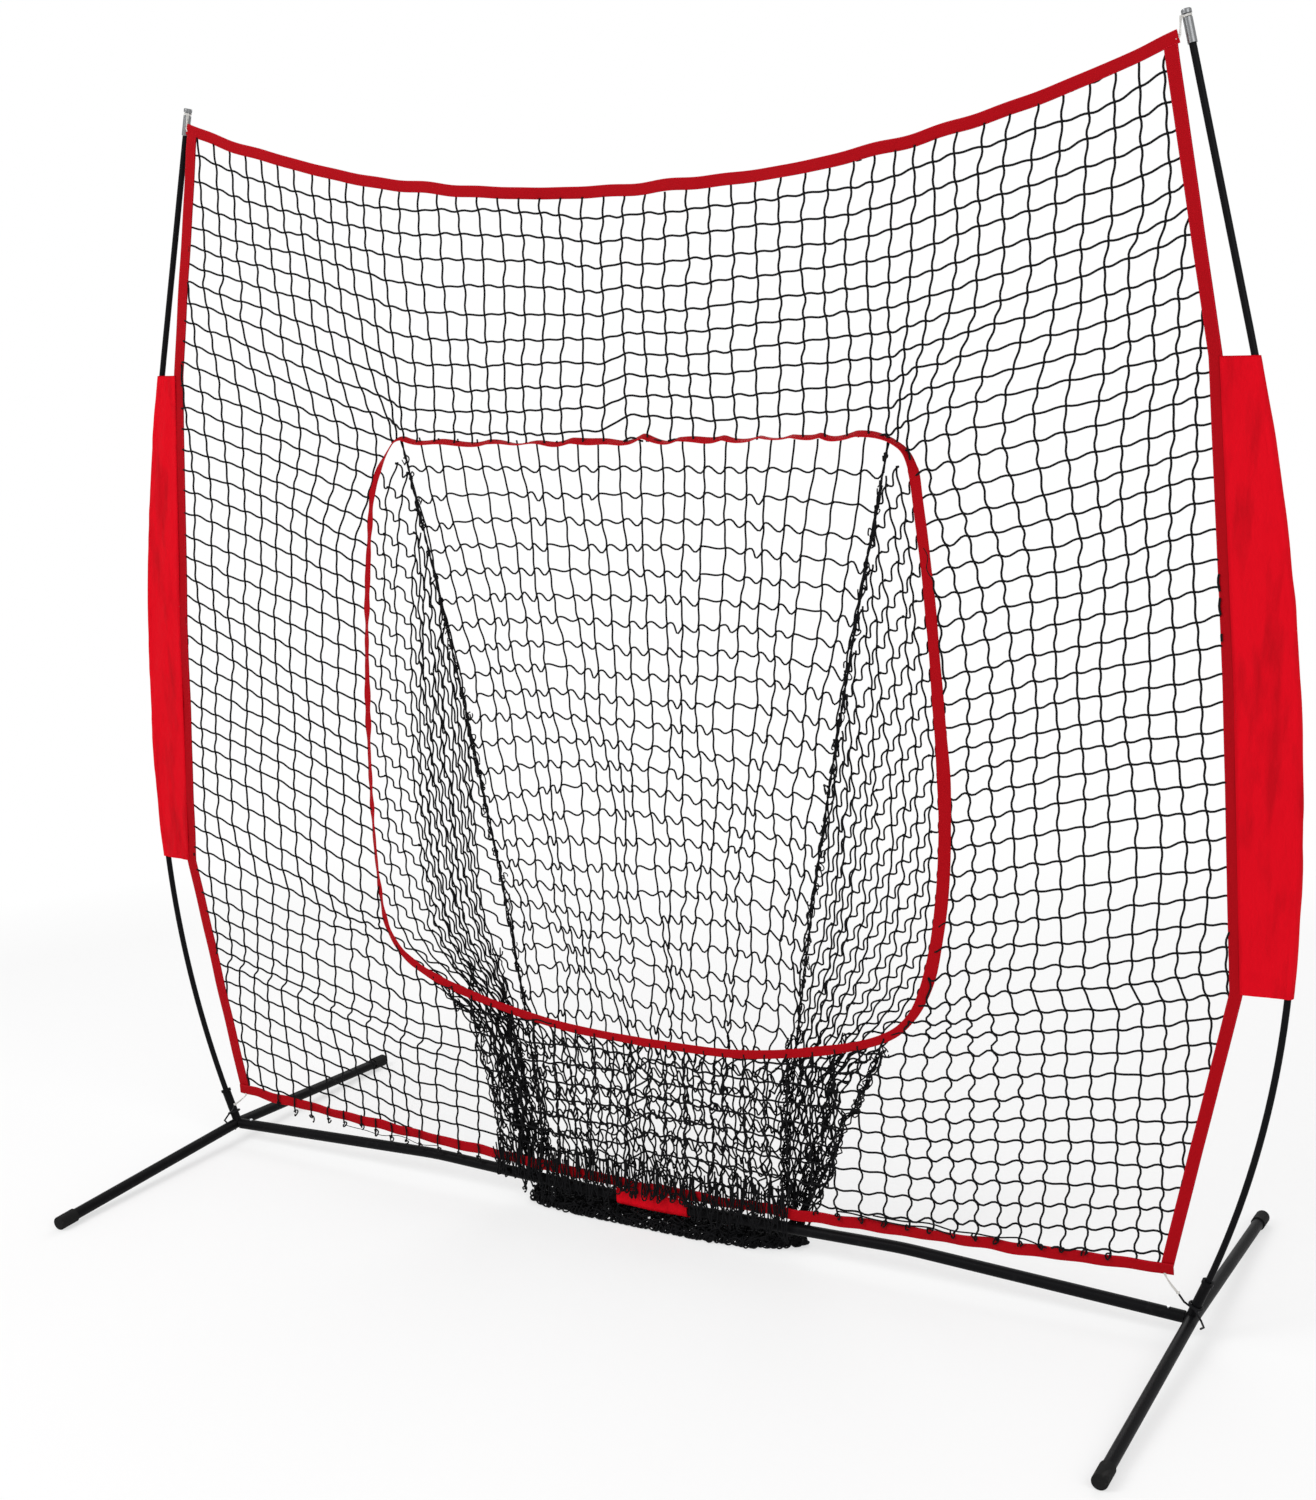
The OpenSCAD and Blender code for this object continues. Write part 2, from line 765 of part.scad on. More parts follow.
// Red webbing round the net
module binding_across(j) {
    end = side_x(row_z(j)) + half_webbing;
    n = 2 * net_columns;
    color(WEBBING_RED)
        in_net_plane(webbing_t)
            polygon(concat(
                [for (i = [0 : n]) let(x = end * (2 * i / n - 1)) [x, hang(x, j) - half_webbing]],
                [for (i = [n : -1 : 0]) let(x = end * (2 * i / n - 1)) [x, hang(x, j) + half_webbing]]
            ));
}
function side_run(out, n) = [
    for (k = [0 : n]) let(
        z0 = net_low_z + half_webbing,
        z1 = net_high_z - half_webbing,
        x0 = side_x(z0) + out,
        x1 = side_x(z1) + out,
        low = hang(x0, 0) + edge_in,
        high = hang(x1, net_rows) - edge_in,
        z = mix(low, high, k / n)
    ) [side_x(z) + out, z]
];
module binding_up(side) {
    n = 40;
    outer = side_run(half_webbing, n);
    inner = side_run(-half_webbing, n);
    color(WEBBING_RED)
        on_side(side)
            in_net_plane(webbing_t)
                polygon(concat(inner, [for (k = [n : -1 : 0]) outer[k]]));
}

// Cloth sleeve: a teardrop that wraps the pole in a channel and thins to the webbing
module sleeve(side) {
    rings = 16;
    arc = 8;
    count = arc + 3;
    inner_r = ferrule_d / 2 + 5 * seat_gap;
    cover_r = inner_r + sleeve_t;
    heel_x = -1.05 * inner_r;
    heel_y = 0.42 * inner_r;
    edge = webbing_t / 2;
    turns = [for (a = [0 : arc]) -112 + 206 * a / arc];
    points = [
        for (k = [0 : rings]) let(
            z = mix(sleeve_low_z, sleeve_high_z, k / rings),
            xi = side_x(z) + half_webbing + seat_gap,
            xp = pole_x(z)
        )
            each concat(
                [[xi, net_y - edge, z]],
                [for (t = turns) [xp + cover_r * cos(t), cover_r * sin(t), z]],
                [[xi, net_y + edge, z]],
                [[xp + heel_x, -heel_y, z]],
                [for (t = turns) [xp + inner_r * cos(t), inner_r * sin(t), z]],
                [[xp + heel_x, heel_y, z]]
            )
    ];
    walls = [
        for (k = [0 : rings - 1], c = [0 : count - 1]) let(
            d = (c + 1) % count,
            a = 2 * k * count,
            b = a + 2 * count
        )
            each [
                [a + c, b + c, b + d],
                [a + c, b + d, a + d],
                [a + count + c, b + count + d, b + count + c],
                [a + count + c, a + count + d, b + count + d],
            ]
    ];
    top = 2 * rings * count;
    ends = [
        for (c = [0 : count - 1]) let(d = (c + 1) % count)
            each [
                [c, d, count + d],
                [c, count + d, count + c],
                [top + c, top + count + d, top + d],
                [top + c, top + count + c, top + count + d],
            ]
    ];
    color(SLEEVE_RED)
        on_side(side)
            polyhedron(points, concat(walls, ends));
}

module throat_tape() {
    color(WEBBING_RED)
        in_net_plane(tape_t)
            difference() {
                polygon(throat(tape_w / 2));
                polygon(throat(-tape_w / 2));
            }
}

// A sheet of net through a grid of points, t thick towards +Y, with one gap in each cell
function across(a, b, c, d, u, v) = (1 - v) * ((1 - u) * a + u * b) + v * ((1 - u) * d + u * c);
module mesh_sheet(grid) {
    rows = len(grid) - 1;
    columns = len(grid[0]) - 1;
    thick = [0, string_t, 0];
    span = columns + 1;
    outer_count = 2 * (rows + 1) * span;
    outer = [for (j = [0 : rows], i = [0 : columns]) each [grid[j][i], grid[j][i] + thick]];
    inner = [
        for (j = [0 : rows - 1], i = [0 : columns - 1]) let(
            a = grid[j][i],
            b = grid[j][i + 1],
            c = grid[j + 1][i + 1],
            d = grid[j + 1][i],
            u = min(0.3, string_w / (norm(b - a) + norm(c - d))),
            v = min(0.3, string_w / (norm(d - a) + norm(c - b)))
        )
            each [
                for (s = [[u, v], [1 - u, v], [1 - u, 1 - v], [u, 1 - v]]) let(
                    p = across(a, b, c, d, s[0], s[1])
                )
                    each [p, p + thick]
            ]
    ];
    function o(i, j, f) = 2 * (j * span + i) + f;
    function n(i, j, k, f) = outer_count + 2 * (4 * (j * columns + i) + k % 4) + f;
    function corner(i, j, k, f) = o(i + [0, 1, 1, 0][k % 4], j + [0, 0, 1, 1][k % 4], f);
    cells = [
        for (j = [0 : rows - 1], i = [0 : columns - 1], k = [0 : 3])
            each [
                [corner(i, j, k, 0), n(i, j, k, 0), n(i, j, k + 1, 0)],
                [corner(i, j, k, 0), n(i, j, k + 1, 0), corner(i, j, k + 1, 0)],
                [corner(i, j, k, 1), n(i, j, k + 1, 1), n(i, j, k, 1)],
                [corner(i, j, k, 1), corner(i, j, k + 1, 1), n(i, j, k + 1, 1)],
                [n(i, j, k, 0), n(i, j, k, 1), n(i, j, k + 1, 1)],
                [n(i, j, k, 0), n(i, j, k + 1, 1), n(i, j, k + 1, 0)],
            ]
    ];
    rim = concat(
        [for (i = [0 : columns - 1]) [[i, 0], [i + 1, 0]]],
        [for (j = [0 : rows - 1]) [[columns, j], [columns, j + 1]]],
        [for (i = [columns : -1 : 1]) [[i, rows], [i - 1, rows]]],
        [for (j = [rows : -1 : 1]) [[0, j], [0, j - 1]]]
    );
    edges = [
        for (e = rim) let(a = e[0], b = e[1])
            each [
                [o(a[0], a[1], 0), o(b[0], b[1], 0), o(b[0], b[1], 1)],
                [o(a[0], a[1], 0), o(b[0], b[1], 1), o(a[0], a[1], 1)],
            ]
    ];
    color(NET_BLACK) polyhedron(concat(outer, inner), concat(cells, edges));
}

// Pouch panels share their edge points, row by row, from the ground up
pouch_rows = 10;
front_rows = 3;
back_columns = 7;
gusset_columns = 2;
heap_top = heap_height + seat_gap;
behind_bar = tube_r + seat_gap + strap_t + seat_gap * 2;
function pouch_row_z(j) = mix(heap_top, throat_top_z, j / pouch_rows);
function back_y(j) = pouch_y + pouch_depth * pow(1 - j / pouch_rows, 0.9);
function back_half(j) = let(share = max(0, (pouch_row_z(j) - 150) / (throat_top_z - 150)))
    mix(pouch_low_half, pouch_top_half, pow(share, 1.35));
function front_y(j) = mix(pouch_y, behind_bar, min(1, (front_rows - j) / 2));
throat_side = [
    for (k = [len(throat_right(0)) - 1 : -1 : 4]) let(p = throat_right(0)[k]) [p[1], p[0]]
];
function throat_half(z) = lookup(z, throat_side);
function front_half(j) = mix(pouch_foot_half, throat_half(pouch_row_z(front_rows)),
    pow(j / front_rows, 1.5));
function outer_half(j) =
    j == pouch_rows ? pouch_top_half + 14
    : j > front_rows ? throat_half(pouch_row_z(j))
    : front_half(j);
function outer_y(j) = j > front_rows ? pouch_y : front_y(j) + string_t + seat_gap;

module pouch_back() {
    mesh_sheet([
        for (j = [0 : pouch_rows]) [
            for (i = [0 : back_columns]) let(s = 2 * i / back_columns - 1)
                [s * back_half(j), back_y(j), pouch_row_z(j) + top_crown * (1 - s * s) * j / pouch_rows]
        ]
    ]);
}
module pouch_front() {
    dip = pouch_row_z(front_rows) - throat_low_z;
    mesh_sheet([
        for (j = [0 : front_rows]) [
            for (i = [0 : back_columns]) let(s = 2 * i / back_columns - 1)
                [
                    s * front_half(j),
                    front_y(j),
                    pouch_row_z(j) - dip * (1 - s * s) * j / front_rows,
                ]
        ]
    ]);
}
module pouch_gusset(side) {
    mesh_sheet([
        for (j = [0 : pouch_rows]) [
            for (i = [0 : gusset_columns]) let(
                t = side == LEFT ? i / gusset_columns : 1 - i / gusset_columns
            )
                [
                    side * mix(outer_half(j), back_half(j), t),
                    mix(outer_y(j), back_y(j), t),
                    pouch_row_z(j),
                ]
        ]
    ]);
}

// Slack net heaped on the ground: a low lumpy mound under and behind the crossbar
module pouch_heap() {
    rings = 26;
    lift = 0.8;
    section = [
        [-1, 0], [-1, 0.4], [-0.82, 0.8], [-0.5, 1], [0.1, 1], [0.5, 1],
        [0.8, 0.86], [1, 0.5], [1, 0],
    ];
    n = len(section);
    middle = (heap_back - heap_front) / 2;
    half_depth = (heap_back + heap_front) / 2;
    reach = pouch_foot_half + 6;
    points = [
        for (k = [0 : rings]) let(
            u = 2 * k / rings - 1,
            round_off = sqrt(max(0.05, 1 - pow(abs(u), 6))),
            lump = 1 - 0.06 * (1 + sin(k * 117))
        )
            each [
                for (p = section)
                    [
                        u * reach,
                        middle + p[0] * half_depth * round_off * lump,
                        lift + p[1] * (heap_height - lift) * (abs(p[1]) == 1 ? 1 : lump),
                    ]
            ]
    ];
    color(NET_BLACK)
        polyhedron(
            points,
            concat(
                [
                    for (k = [0 : rings - 1], c = [0 : n - 1]) let(d = (c + 1) % n, a = k * n)
                        each [
                            [a + c, a + d, a + n + d],
                            [a + c, a + n + d, a + n + c],
                        ]
                ],
                [for (c = [1 : n - 2]) [0, c + 1, c]],
                [for (c = [1 : n - 2]) [rings * n, rings * n + c, rings * n + c + 1]]
            )
        );
}

// Cloth strap that ties the net's lower webbing to the crossbar
module bar_strap() {
    outer_r = tube_r + seat_gap + strap_t;
    low = bar_mid_z - strap_slack;
    high = bar_mid_z + max(
        strap_half * tan(bar_fall) + seat_gap,
        button_mid * tan(bar_fall) + button_proud
    );
    tab_top = hang(0, 0) - half_webbing - seat_gap;
    color(SLEEVE_RED)
        translate([-strap_half, 0, 0])
            rotate([90, 0, 90])
                linear_extrude(2 * strap_half)
                    union() {
                        difference() {
                            slot_shape(outer_r, low, high);
                            slot_shape(outer_r - strap_t, low, high);
                        }
                        translate([-outer_r, high]) square([strap_t, tab_top - high]);
                    }
}
module slot_shape(r, low, high) {
    translate([0, low]) circle(r = r);
    translate([0, high]) circle(r = r);
    translate([-r, low]) square([2 * r, high - low]);
}

foot_tube(LEFT);  // foot_tube_left
foot_tube(RIGHT);  // foot_tube_right
foot_cap(LEFT, FRONT);  // foot_cap_front_left
foot_cap(LEFT, REAR);  // foot_cap_rear_left
foot_cap(RIGHT, FRONT);  // foot_cap_front_right
foot_cap(RIGHT, REAR);  // foot_cap_rear_right
bar_stub(LEFT);  // bar_stub_left
bar_stub(RIGHT);  // bar_stub_right
pole_socket(LEFT);  // pole_socket_left
pole_socket(RIGHT);  // pole_socket_right
crossbar(LEFT);  // crossbar_left
crossbar(RIGHT);  // crossbar_right
crossbar_splice();
snap_button(LEFT);  // snap_button_left
snap_button(RIGHT);  // snap_button_right
snap_button(0);  // snap_button_middle
snap_spring(LEFT);  // snap_spring_left
snap_spring(RIGHT);  // snap_spring_right
snap_spring(0);  // snap_spring_middle
pole_lower(LEFT);  // pole_lower_left
pole_lower(RIGHT);  // pole_lower_right
pole_middle(LEFT);  // pole_middle_left
pole_middle(RIGHT);  // pole_middle_right
pole_upper(LEFT);  // pole_upper_left
pole_upper(RIGHT);  // pole_upper_right
ferrule(LEFT, join_lower, lower_end);  // ferrule_lower_left
ferrule(RIGHT, join_lower, lower_end);  // ferrule_lower_right
ferrule(LEFT, join_upper, middle_end);  // ferrule_upper_left
ferrule(RIGHT, join_upper, middle_end);  // ferrule_upper_right
pole_tip(LEFT);  // pole_tip_left
pole_tip(RIGHT);  // pole_tip_right
net_hook(LEFT);  // net_hook_left
net_hook(RIGHT);  // net_hook_right
loop_top(LEFT);  // loop_top_left
loop_top(RIGHT);  // loop_top_right
loop_bottom(LEFT);  // loop_bottom_left
loop_bottom(RIGHT);  // loop_bottom_right
net_over();  // net_top
net_side(LEFT);  // net_left
net_side(RIGHT);  // net_right
net_under(side_column, low_column);  // net_bottom_left
net_under(low_column, high_column);  // net_bottom_middle
net_under(high_column, end_column);  // net_bottom_right
binding_across(net_rows);  // binding_top
binding_across(0);  // binding_bottom
binding_up(LEFT);  // binding_left
binding_up(RIGHT);  // binding_right
sleeve(LEFT);  // sleeve_left
sleeve(RIGHT);  // sleeve_right
throat_tape();
pouch_back();
pouch_front();
pouch_gusset(LEFT);  // pouch_left
pouch_gusset(RIGHT);  // pouch_right
pouch_heap();
bar_strap();
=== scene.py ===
"""Looks of a pitching target net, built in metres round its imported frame."""
import json
import logging
import math
from dataclasses import dataclass, field
from enum import Enum
from typing import Any, Callable, Iterator, Protocol, Sequence

import bpy
import numpy as np
from mathutils import Matrix, Vector

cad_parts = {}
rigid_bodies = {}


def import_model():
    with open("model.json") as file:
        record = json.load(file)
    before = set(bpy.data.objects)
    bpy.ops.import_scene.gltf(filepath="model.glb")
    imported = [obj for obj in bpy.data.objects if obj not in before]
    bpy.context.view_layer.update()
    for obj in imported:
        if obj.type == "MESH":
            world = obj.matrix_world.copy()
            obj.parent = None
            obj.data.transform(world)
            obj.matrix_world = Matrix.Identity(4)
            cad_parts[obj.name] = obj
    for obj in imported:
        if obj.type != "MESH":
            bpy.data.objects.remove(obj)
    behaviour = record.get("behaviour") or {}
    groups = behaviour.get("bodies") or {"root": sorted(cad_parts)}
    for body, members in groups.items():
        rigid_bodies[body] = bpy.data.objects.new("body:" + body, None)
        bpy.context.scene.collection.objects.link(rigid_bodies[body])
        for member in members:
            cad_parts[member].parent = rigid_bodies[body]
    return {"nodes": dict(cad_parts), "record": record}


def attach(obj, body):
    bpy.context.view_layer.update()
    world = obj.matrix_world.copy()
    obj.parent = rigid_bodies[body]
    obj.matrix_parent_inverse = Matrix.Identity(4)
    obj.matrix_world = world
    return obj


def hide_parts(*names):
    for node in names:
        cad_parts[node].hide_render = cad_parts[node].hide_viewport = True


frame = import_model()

LOG = logging.getLogger("target_net")
BODY = "frame_and_net"
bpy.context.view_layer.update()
Array = np.ndarray
Colour = tuple[float, float, float]
ACROSS = np.array([1.0, 0.0, 0.0])
BACK = np.array([0.0, 1.0, 0.0])
CROSSING = 0.0014  # how far strings that run across lie behind the upright ones


class Side(Enum):
    """The two sides of the net, seen from the thrower."""

    LEFT = -1
    RIGHT = 1

    @property
    def word(self) -> str:
        """The side's name as the pieces carry it."""
        return self.name.lower()

    @property
    def mirror(self) -> Array:
        """What turns a point of the right side into one of this side."""
        return np.array([self.value, 1, 1])


# ---- shader trees


def operator(operation: str, reflected: bool = False) -> Callable[["Value", Any], "Value"]:
    """Makes one of Value's operators out of a Math node's operation.

    Args:
        operation: the Math node's operation.
        reflected: whether the value stands on the operator's right.

    Returns:
        The operator's method.
    """

    def apply(self: "Value", other: Any) -> "Value":
        """Adds the Math node that the operator stands for."""
        terms = (other, self) if reflected else (self, other)
        return self.math(operation, *terms)

    return apply


class Value:
    """A socket of a shader tree that takes part in expressions."""

    __add__ = operator("ADD")
    __radd__ = operator("ADD", reflected=True)
    __sub__ = operator("SUBTRACT")
    __rsub__ = operator("SUBTRACT", reflected=True)
    __mul__ = operator("MULTIPLY")
    __truediv__ = operator("DIVIDE")
    __pow__ = operator("POWER")
    __gt__ = operator("GREATER_THAN")
    __lt__ = operator("LESS_THAN")

    def __init__(self, tree: "Tree", socket: bpy.types.NodeSocket) -> None:
        """Wraps a socket of the tree."""
        self.tree = tree
        self.socket = socket

    def math(self, operation: str, *terms: Any) -> "Value":
        """Adds a Math node.

        Args:
            operation: the Math node's operation.
            terms: its inputs in order, values or numbers.

        Returns:
            The node's result.
        """
        return self.tree.node("ShaderNodeMath", dict(enumerate(terms)), operation=operation)

    def __abs__(self) -> "Value":
        """Size without sign."""
        return self.math("ABSOLUTE", self)

    def sine(self) -> "Value":
        """Sine of an angle in radians."""
        return self.math("SINE", self)

    def at_most(self, other: Any) -> "Value":
        """The smaller of the two."""
        return self.math("MINIMUM", self, other)

    def at_least(self, other: Any) -> "Value":
        """The larger of the two."""
        return self.math("MAXIMUM", self, other)

    def clamped(self) -> "Value":
        """The value held between 0 and 1."""
        return self.at_least(0.0).at_most(1.0)

    def wave(self, pitch: float) -> "Value":
        """A wave from -1 to 1 along this distance, of a pitch in metres."""
        return (self * (math.tau / pitch)).sine()


class Tree:
    """The node tree of one material."""

    def __init__(self, name: str, owner: Any = None) -> None:
        """Empties the tree of an owner such as the world, or of a new material."""
        self.material = owner or bpy.data.materials.new(name)
        self.material.use_nodes = True
        self.nodes = self.material.node_tree.nodes
        self.links = self.material.node_tree.links
        self.nodes.clear()

    def node(
        self, kind: str, inputs: dict[int | str, Any] | None = None, out: int | str = 0, **settings: Any
    ) -> Value:
        """Adds any node.

        Args:
            kind: the node's type.
            inputs: values, numbers or colours of its sockets, by place or name.
            out: the output that is wanted.
            settings: the node's own properties, which are set first.

        Returns:
            That output.
        """
        made = self.nodes.new(kind)
        for key, setting in settings.items():
            setattr(made, key, setting)
        for key, given in (inputs or {}).items():
            socket = made.inputs[key]
            if isinstance(given, Value):
                self.links.new(given.socket, socket)
            elif socket.type == "RGBA" and len(given) == 3:
                socket.default_value = (*given, 1.0)
            else:
                socket.default_value = given
        return Value(self, made.outputs[out])

    def split(self, vector: Value) -> tuple[Value, Value, Value]:
        """The three parts of a vector."""
        parts = self.node("ShaderNodeSeparateXYZ", {0: vector}).socket.node
        return tuple(Value(self, parts.outputs[k]) for k in range(3))

    def place(self) -> Value:
        """The point on the piece, in metres."""
        return self.node("ShaderNodeTexCoord", out="Object")

    def run(self) -> tuple[Value, Value]:
        """How far along and across a string or ribbon the point lies."""
        along, across, _ = self.split(self.node("ShaderNodeUVMap", uv_map="run"))
        return along, across

    def stretched(self, scale: Sequence[float]) -> Value:
        """The point on the piece with each axis scaled."""
        terms = {0: self.place(), 1: tuple(scale)}
        return self.node("ShaderNodeVectorMath", terms, operation="MULTIPLY")

    def noise(self, scale: float, detail: float = 3.0, where: Value | None = None) -> Value:
        """Cloudy noise from 0 to 1.

        Args:
            scale: clouds for each metre.
            detail: number of finer layers.
            where: the coordinates, otherwise the point on the piece.

        Returns:
            The noise.
        """
        inputs = {"Vector": where or self.place(), "Scale": scale, "Detail": detail}
        return self.node("ShaderNodeTexNoise", inputs)

    def blend(self, share: Value | float, low: Any, high: Any) -> Value:
        """Mixes two colours.

        Args:
            share: 0 for the first, 1 for the second.
            low: the first colour.
            high: the second colour.

        Returns:
            The mixed colour.
        """
        return self.node("ShaderNodeMix", {0: share, 6: low, 7: high}, 2, data_type="RGBA")

    def bump(self, height: Value, distance: float, strength: float = 1.0) -> Value:
        """Turns a height from 0 to 1 into a surface normal.

        Args:
            height: the height.
            distance: what a height of 1 stands for, in metres.
            strength: share of the effect.

        Returns:
            The normal.
        """
        inputs = {"Height": height, "Distance": distance, "Strength": strength}
        return self.node("ShaderNodeBump", inputs)

    def surface(self, shader: Value) -> bpy.types.Material:
        """Ends the tree in a shader and returns the material."""
        end = self.nodes.new("ShaderNodeOutputMaterial")
        self.links.new(shader.socket, end.inputs[0])
        return self.material


# ---- finishes


def toned(colour: Colour, share: float) -> Colour:
    """The colour made darker, or lighter where the share is above 1."""
    red, green, blue = colour
    return (share * red, share * green, share * blue)


@dataclass(frozen=True)
class Finish:
    """A finish, which becomes one material the first time it is used."""

    name: str
    colour: Colour
    roughness: float

    def material(self) -> bpy.types.Material:
        """The finish's material, made once."""
        found = bpy.data.materials.get("finish_" + self.name)
        return found or self.make(Tree("finish_" + self.name))

    def make(self, tree: Tree) -> bpy.types.Material:
        """Fills the empty tree and returns its material."""
        raise NotImplementedError

    def principled(self, tree: Tree, **sockets: Any) -> bpy.types.Material:
        """Ends the tree in one Principled shader.

        Args:
            tree: the tree.
            sockets: values of the shader's sockets, with _ for each space.

        Returns:
            The material.
        """
        named = {key.replace("_", " "): given for key, given in sockets.items()}
        return tree.surface(tree.node("ShaderNodeBsdfPrincipled", named))


@dataclass(frozen=True)
class PowderCoat(Finish):
    """Black powder coat on steel tube, with a fine orange peel and dusty wear."""

    peel: float = 950.0
    dust: float = 14.0
    wear: float = 60.0
    worn_colour: Colour = (0.030, 0.030, 0.032)

    def make(self, tree: Tree) -> bpy.types.Material:
        """Fills the tree. See Finish.make."""
        peel = tree.noise(self.peel, 2.0)
        dust = tree.noise(self.dust, 5.0)
        worn = ((tree.noise(self.wear, 6.0) - 0.60) * 5.0).clamped()
        base = tree.blend(dust * 0.5, self.colour, toned(self.colour, 2.1))
        return self.principled(
            tree,
            Base_Color=tree.blend(worn * 0.25, base, self.worn_colour),
            Roughness=self.roughness + (dust - 0.5) * 0.22 + worn * 0.12,
            Normal=tree.bump(peel, 0.00025, 0.7),
            Specular_IOR_Level=0.035,
        )


@dataclass(frozen=True)
class Rubber(Finish):
    """Matte black rubber with a faint moulded grain and scuffs."""

    grain: float = 1500.0
    scuff: float = 110.0
    scuff_colour: Colour = (0.035, 0.034, 0.033)

    def make(self, tree: Tree) -> bpy.types.Material:
        """Fills the tree. See Finish.make."""
        grain = tree.noise(self.grain)
        scuff = tree.noise(self.scuff, 6.0, tree.stretched((1.0, 0.35, 1.0)))
        pale = ((scuff - 0.55) * 4.0).clamped()
        return self.principled(
            tree,
            Base_Color=tree.blend(pale * 0.6, self.colour, self.scuff_colour),
            Roughness=self.roughness + (grain - 0.5) * 0.12,
            Normal=tree.bump(grain, 0.0003, 0.6),
            Specular_IOR_Level=0.08,
        )


@dataclass(frozen=True)
class GlassFibre(Finish):
    """Pultruded black glass fibre rod, glossy, with faint streaks along it."""

    fibres: tuple[float, float, float] = (900.0, 900.0, 9.0)
    cloud: float = 22.0

    def make(self, tree: Tree) -> bpy.types.Material:
        """Fills the tree. See Finish.make."""
        streak = tree.noise(1.0, 4.0, tree.stretched(self.fibres))
        cloud = tree.noise(self.cloud)
        return self.principled(
            tree,
            Base_Color=tree.blend(streak, self.colour, toned(self.colour, 1.9)),
            Roughness=self.roughness + streak * 0.12 + (cloud - 0.5) * 0.1,
            Normal=tree.bump(streak, 0.00012, 0.6),
            Specular_IOR_Level=0.035,
        )


@dataclass(frozen=True)
class TurnedMetal(Finish):
    """Satin metal with the fine rings of turning and a little staining."""

    ring: float = 1500.0
    stain: float = 0.35
    cloud: float = 85.0

    def make(self, tree: Tree) -> bpy.types.Material:
        """Fills the tree. See Finish.make."""
        rings = tree.noise(1.0, 3.0, tree.stretched((30.0, 30.0, self.ring)))
        cloud = tree.noise(self.cloud, 5.0)
        return self.principled(
            tree,
            Base_Color=tree.blend(cloud * self.stain, self.colour, toned(self.colour, 0.55)),
            Roughness=self.roughness + (rings - 0.5) * 0.25 + (cloud - 0.5) * 0.15,
            Normal=tree.bump(rings, 0.00012, 0.5),
            Metallic=1.0,
        )


@dataclass(frozen=True)
class NetTwine(Finish):
    """Black twisted polyester twine with a slight gloss."""

    lay: float = 0.0052
    strands: int = 2
    fuzz: float = 2600.0
    cloud: float = 16.0

    def make(self, tree: Tree) -> bpy.types.Material:
        """Fills the tree. See Finish.make."""
        along, across = tree.run()
        twist = along * (math.tau / self.lay) + across * (self.strands * math.tau)
        lay = twist.sine() * 0.5 + 0.5
        fuzz = tree.noise(self.fuzz, 2.0)
        tone = tree.noise(self.cloud)
        return self.principled(
            tree,
            Base_Color=tree.blend(lay * 0.45 + tone * 0.35, self.colour, toned(self.colour, 2.4)),
            Roughness=self.roughness + (fuzz - 0.5) * 0.2,
            Normal=tree.bump(lay * 0.8 + fuzz * 0.2, 0.0005, 0.8),
            Specular_IOR_Level=0.06,
        )


@dataclass(frozen=True)
class Webbing(Finish):
    """Woven tape with fine ribs and a stitch line near each edge."""

    warp: float = 0.0013
    weft: float = 0.0017
    stitch_at: float = 0.0092
    stitch_half: float = 0.0006
    sunk_half: float = 0.0016
    stitch_length: float = 0.0034
    thread: Colour = (0.54, 0.006, 0.018)
    cloud: float = 26.0

    def make(self, tree: Tree) -> bpy.types.Material:
        """Fills the tree. See Finish.make."""
        along, across = tree.run()
        weave = across.wave(self.warp) * along.wave(self.weft) * 0.5 + 0.5
        near = abs(abs(across) - self.stitch_at)
        line = near < self.stitch_half
        dash = along.wave(self.stitch_length) > -0.45
        stitch = line * dash
        sunk = (near < self.sunk_half) * (1 - stitch)
        cloud = tree.noise(self.cloud, 4.0)
        tone = tree.blend(weave * 0.5, self.colour, toned(self.colour, 0.62))
        clouded = tree.blend(cloud * 0.30, tone, toned(self.colour, 0.7))
        height = weave * 0.35 + stitch * 0.65 - sunk * 0.35
        return self.principled(
            tree,
            Base_Color=tree.blend(stitch, clouded, self.thread),
            Roughness=self.roughness + (weave - 0.5) * 0.1,
            Normal=tree.bump(height, 0.0005, 0.9),
            Specular_IOR_Level=0.07,
        )


@dataclass(frozen=True)
class Cloth(Finish):
    """Plain-woven polyester cloth with upright creases whose hollows hold painted shade."""

    weave: float = 0.0011
    cloud: float = 13.0
    creases: tuple[float, float, float] = (42.0, 42.0, 8.0)

    def make(self, tree: Tree) -> bpy.types.Material:
        """Fills the tree. See Finish.make."""
        along, across = tree.run()
        weave = across.wave(self.weave) * along.wave(self.weave) * 0.5 + 0.5
        cloud = tree.noise(self.cloud, 5.0)
        crease = tree.noise(1.0, 4.0, tree.stretched(self.creases))
        deep = toned(self.colour, 0.74)
        tone = tree.blend(weave * 0.45, self.colour, deep)
        clouded = tree.blend(cloud * 0.3, tone, deep)
        # painted shade: the base colour darkens in the creases' hollows, standing for shade that falls
        # there
        painted_crease_shade = ((crease - 0.47) * 4.5).clamped()
        return self.principled(
            tree,
            Base_Color=tree.blend(painted_crease_shade * 0.55, clouded, toned(self.colour, 0.52)),
            Roughness=self.roughness + (cloud - 0.5) * 0.16,
            Normal=tree.bump(weave * 0.07 + crease * 0.93, 0.0034, 0.7),
            Specular_IOR_Level=0.07,
        )


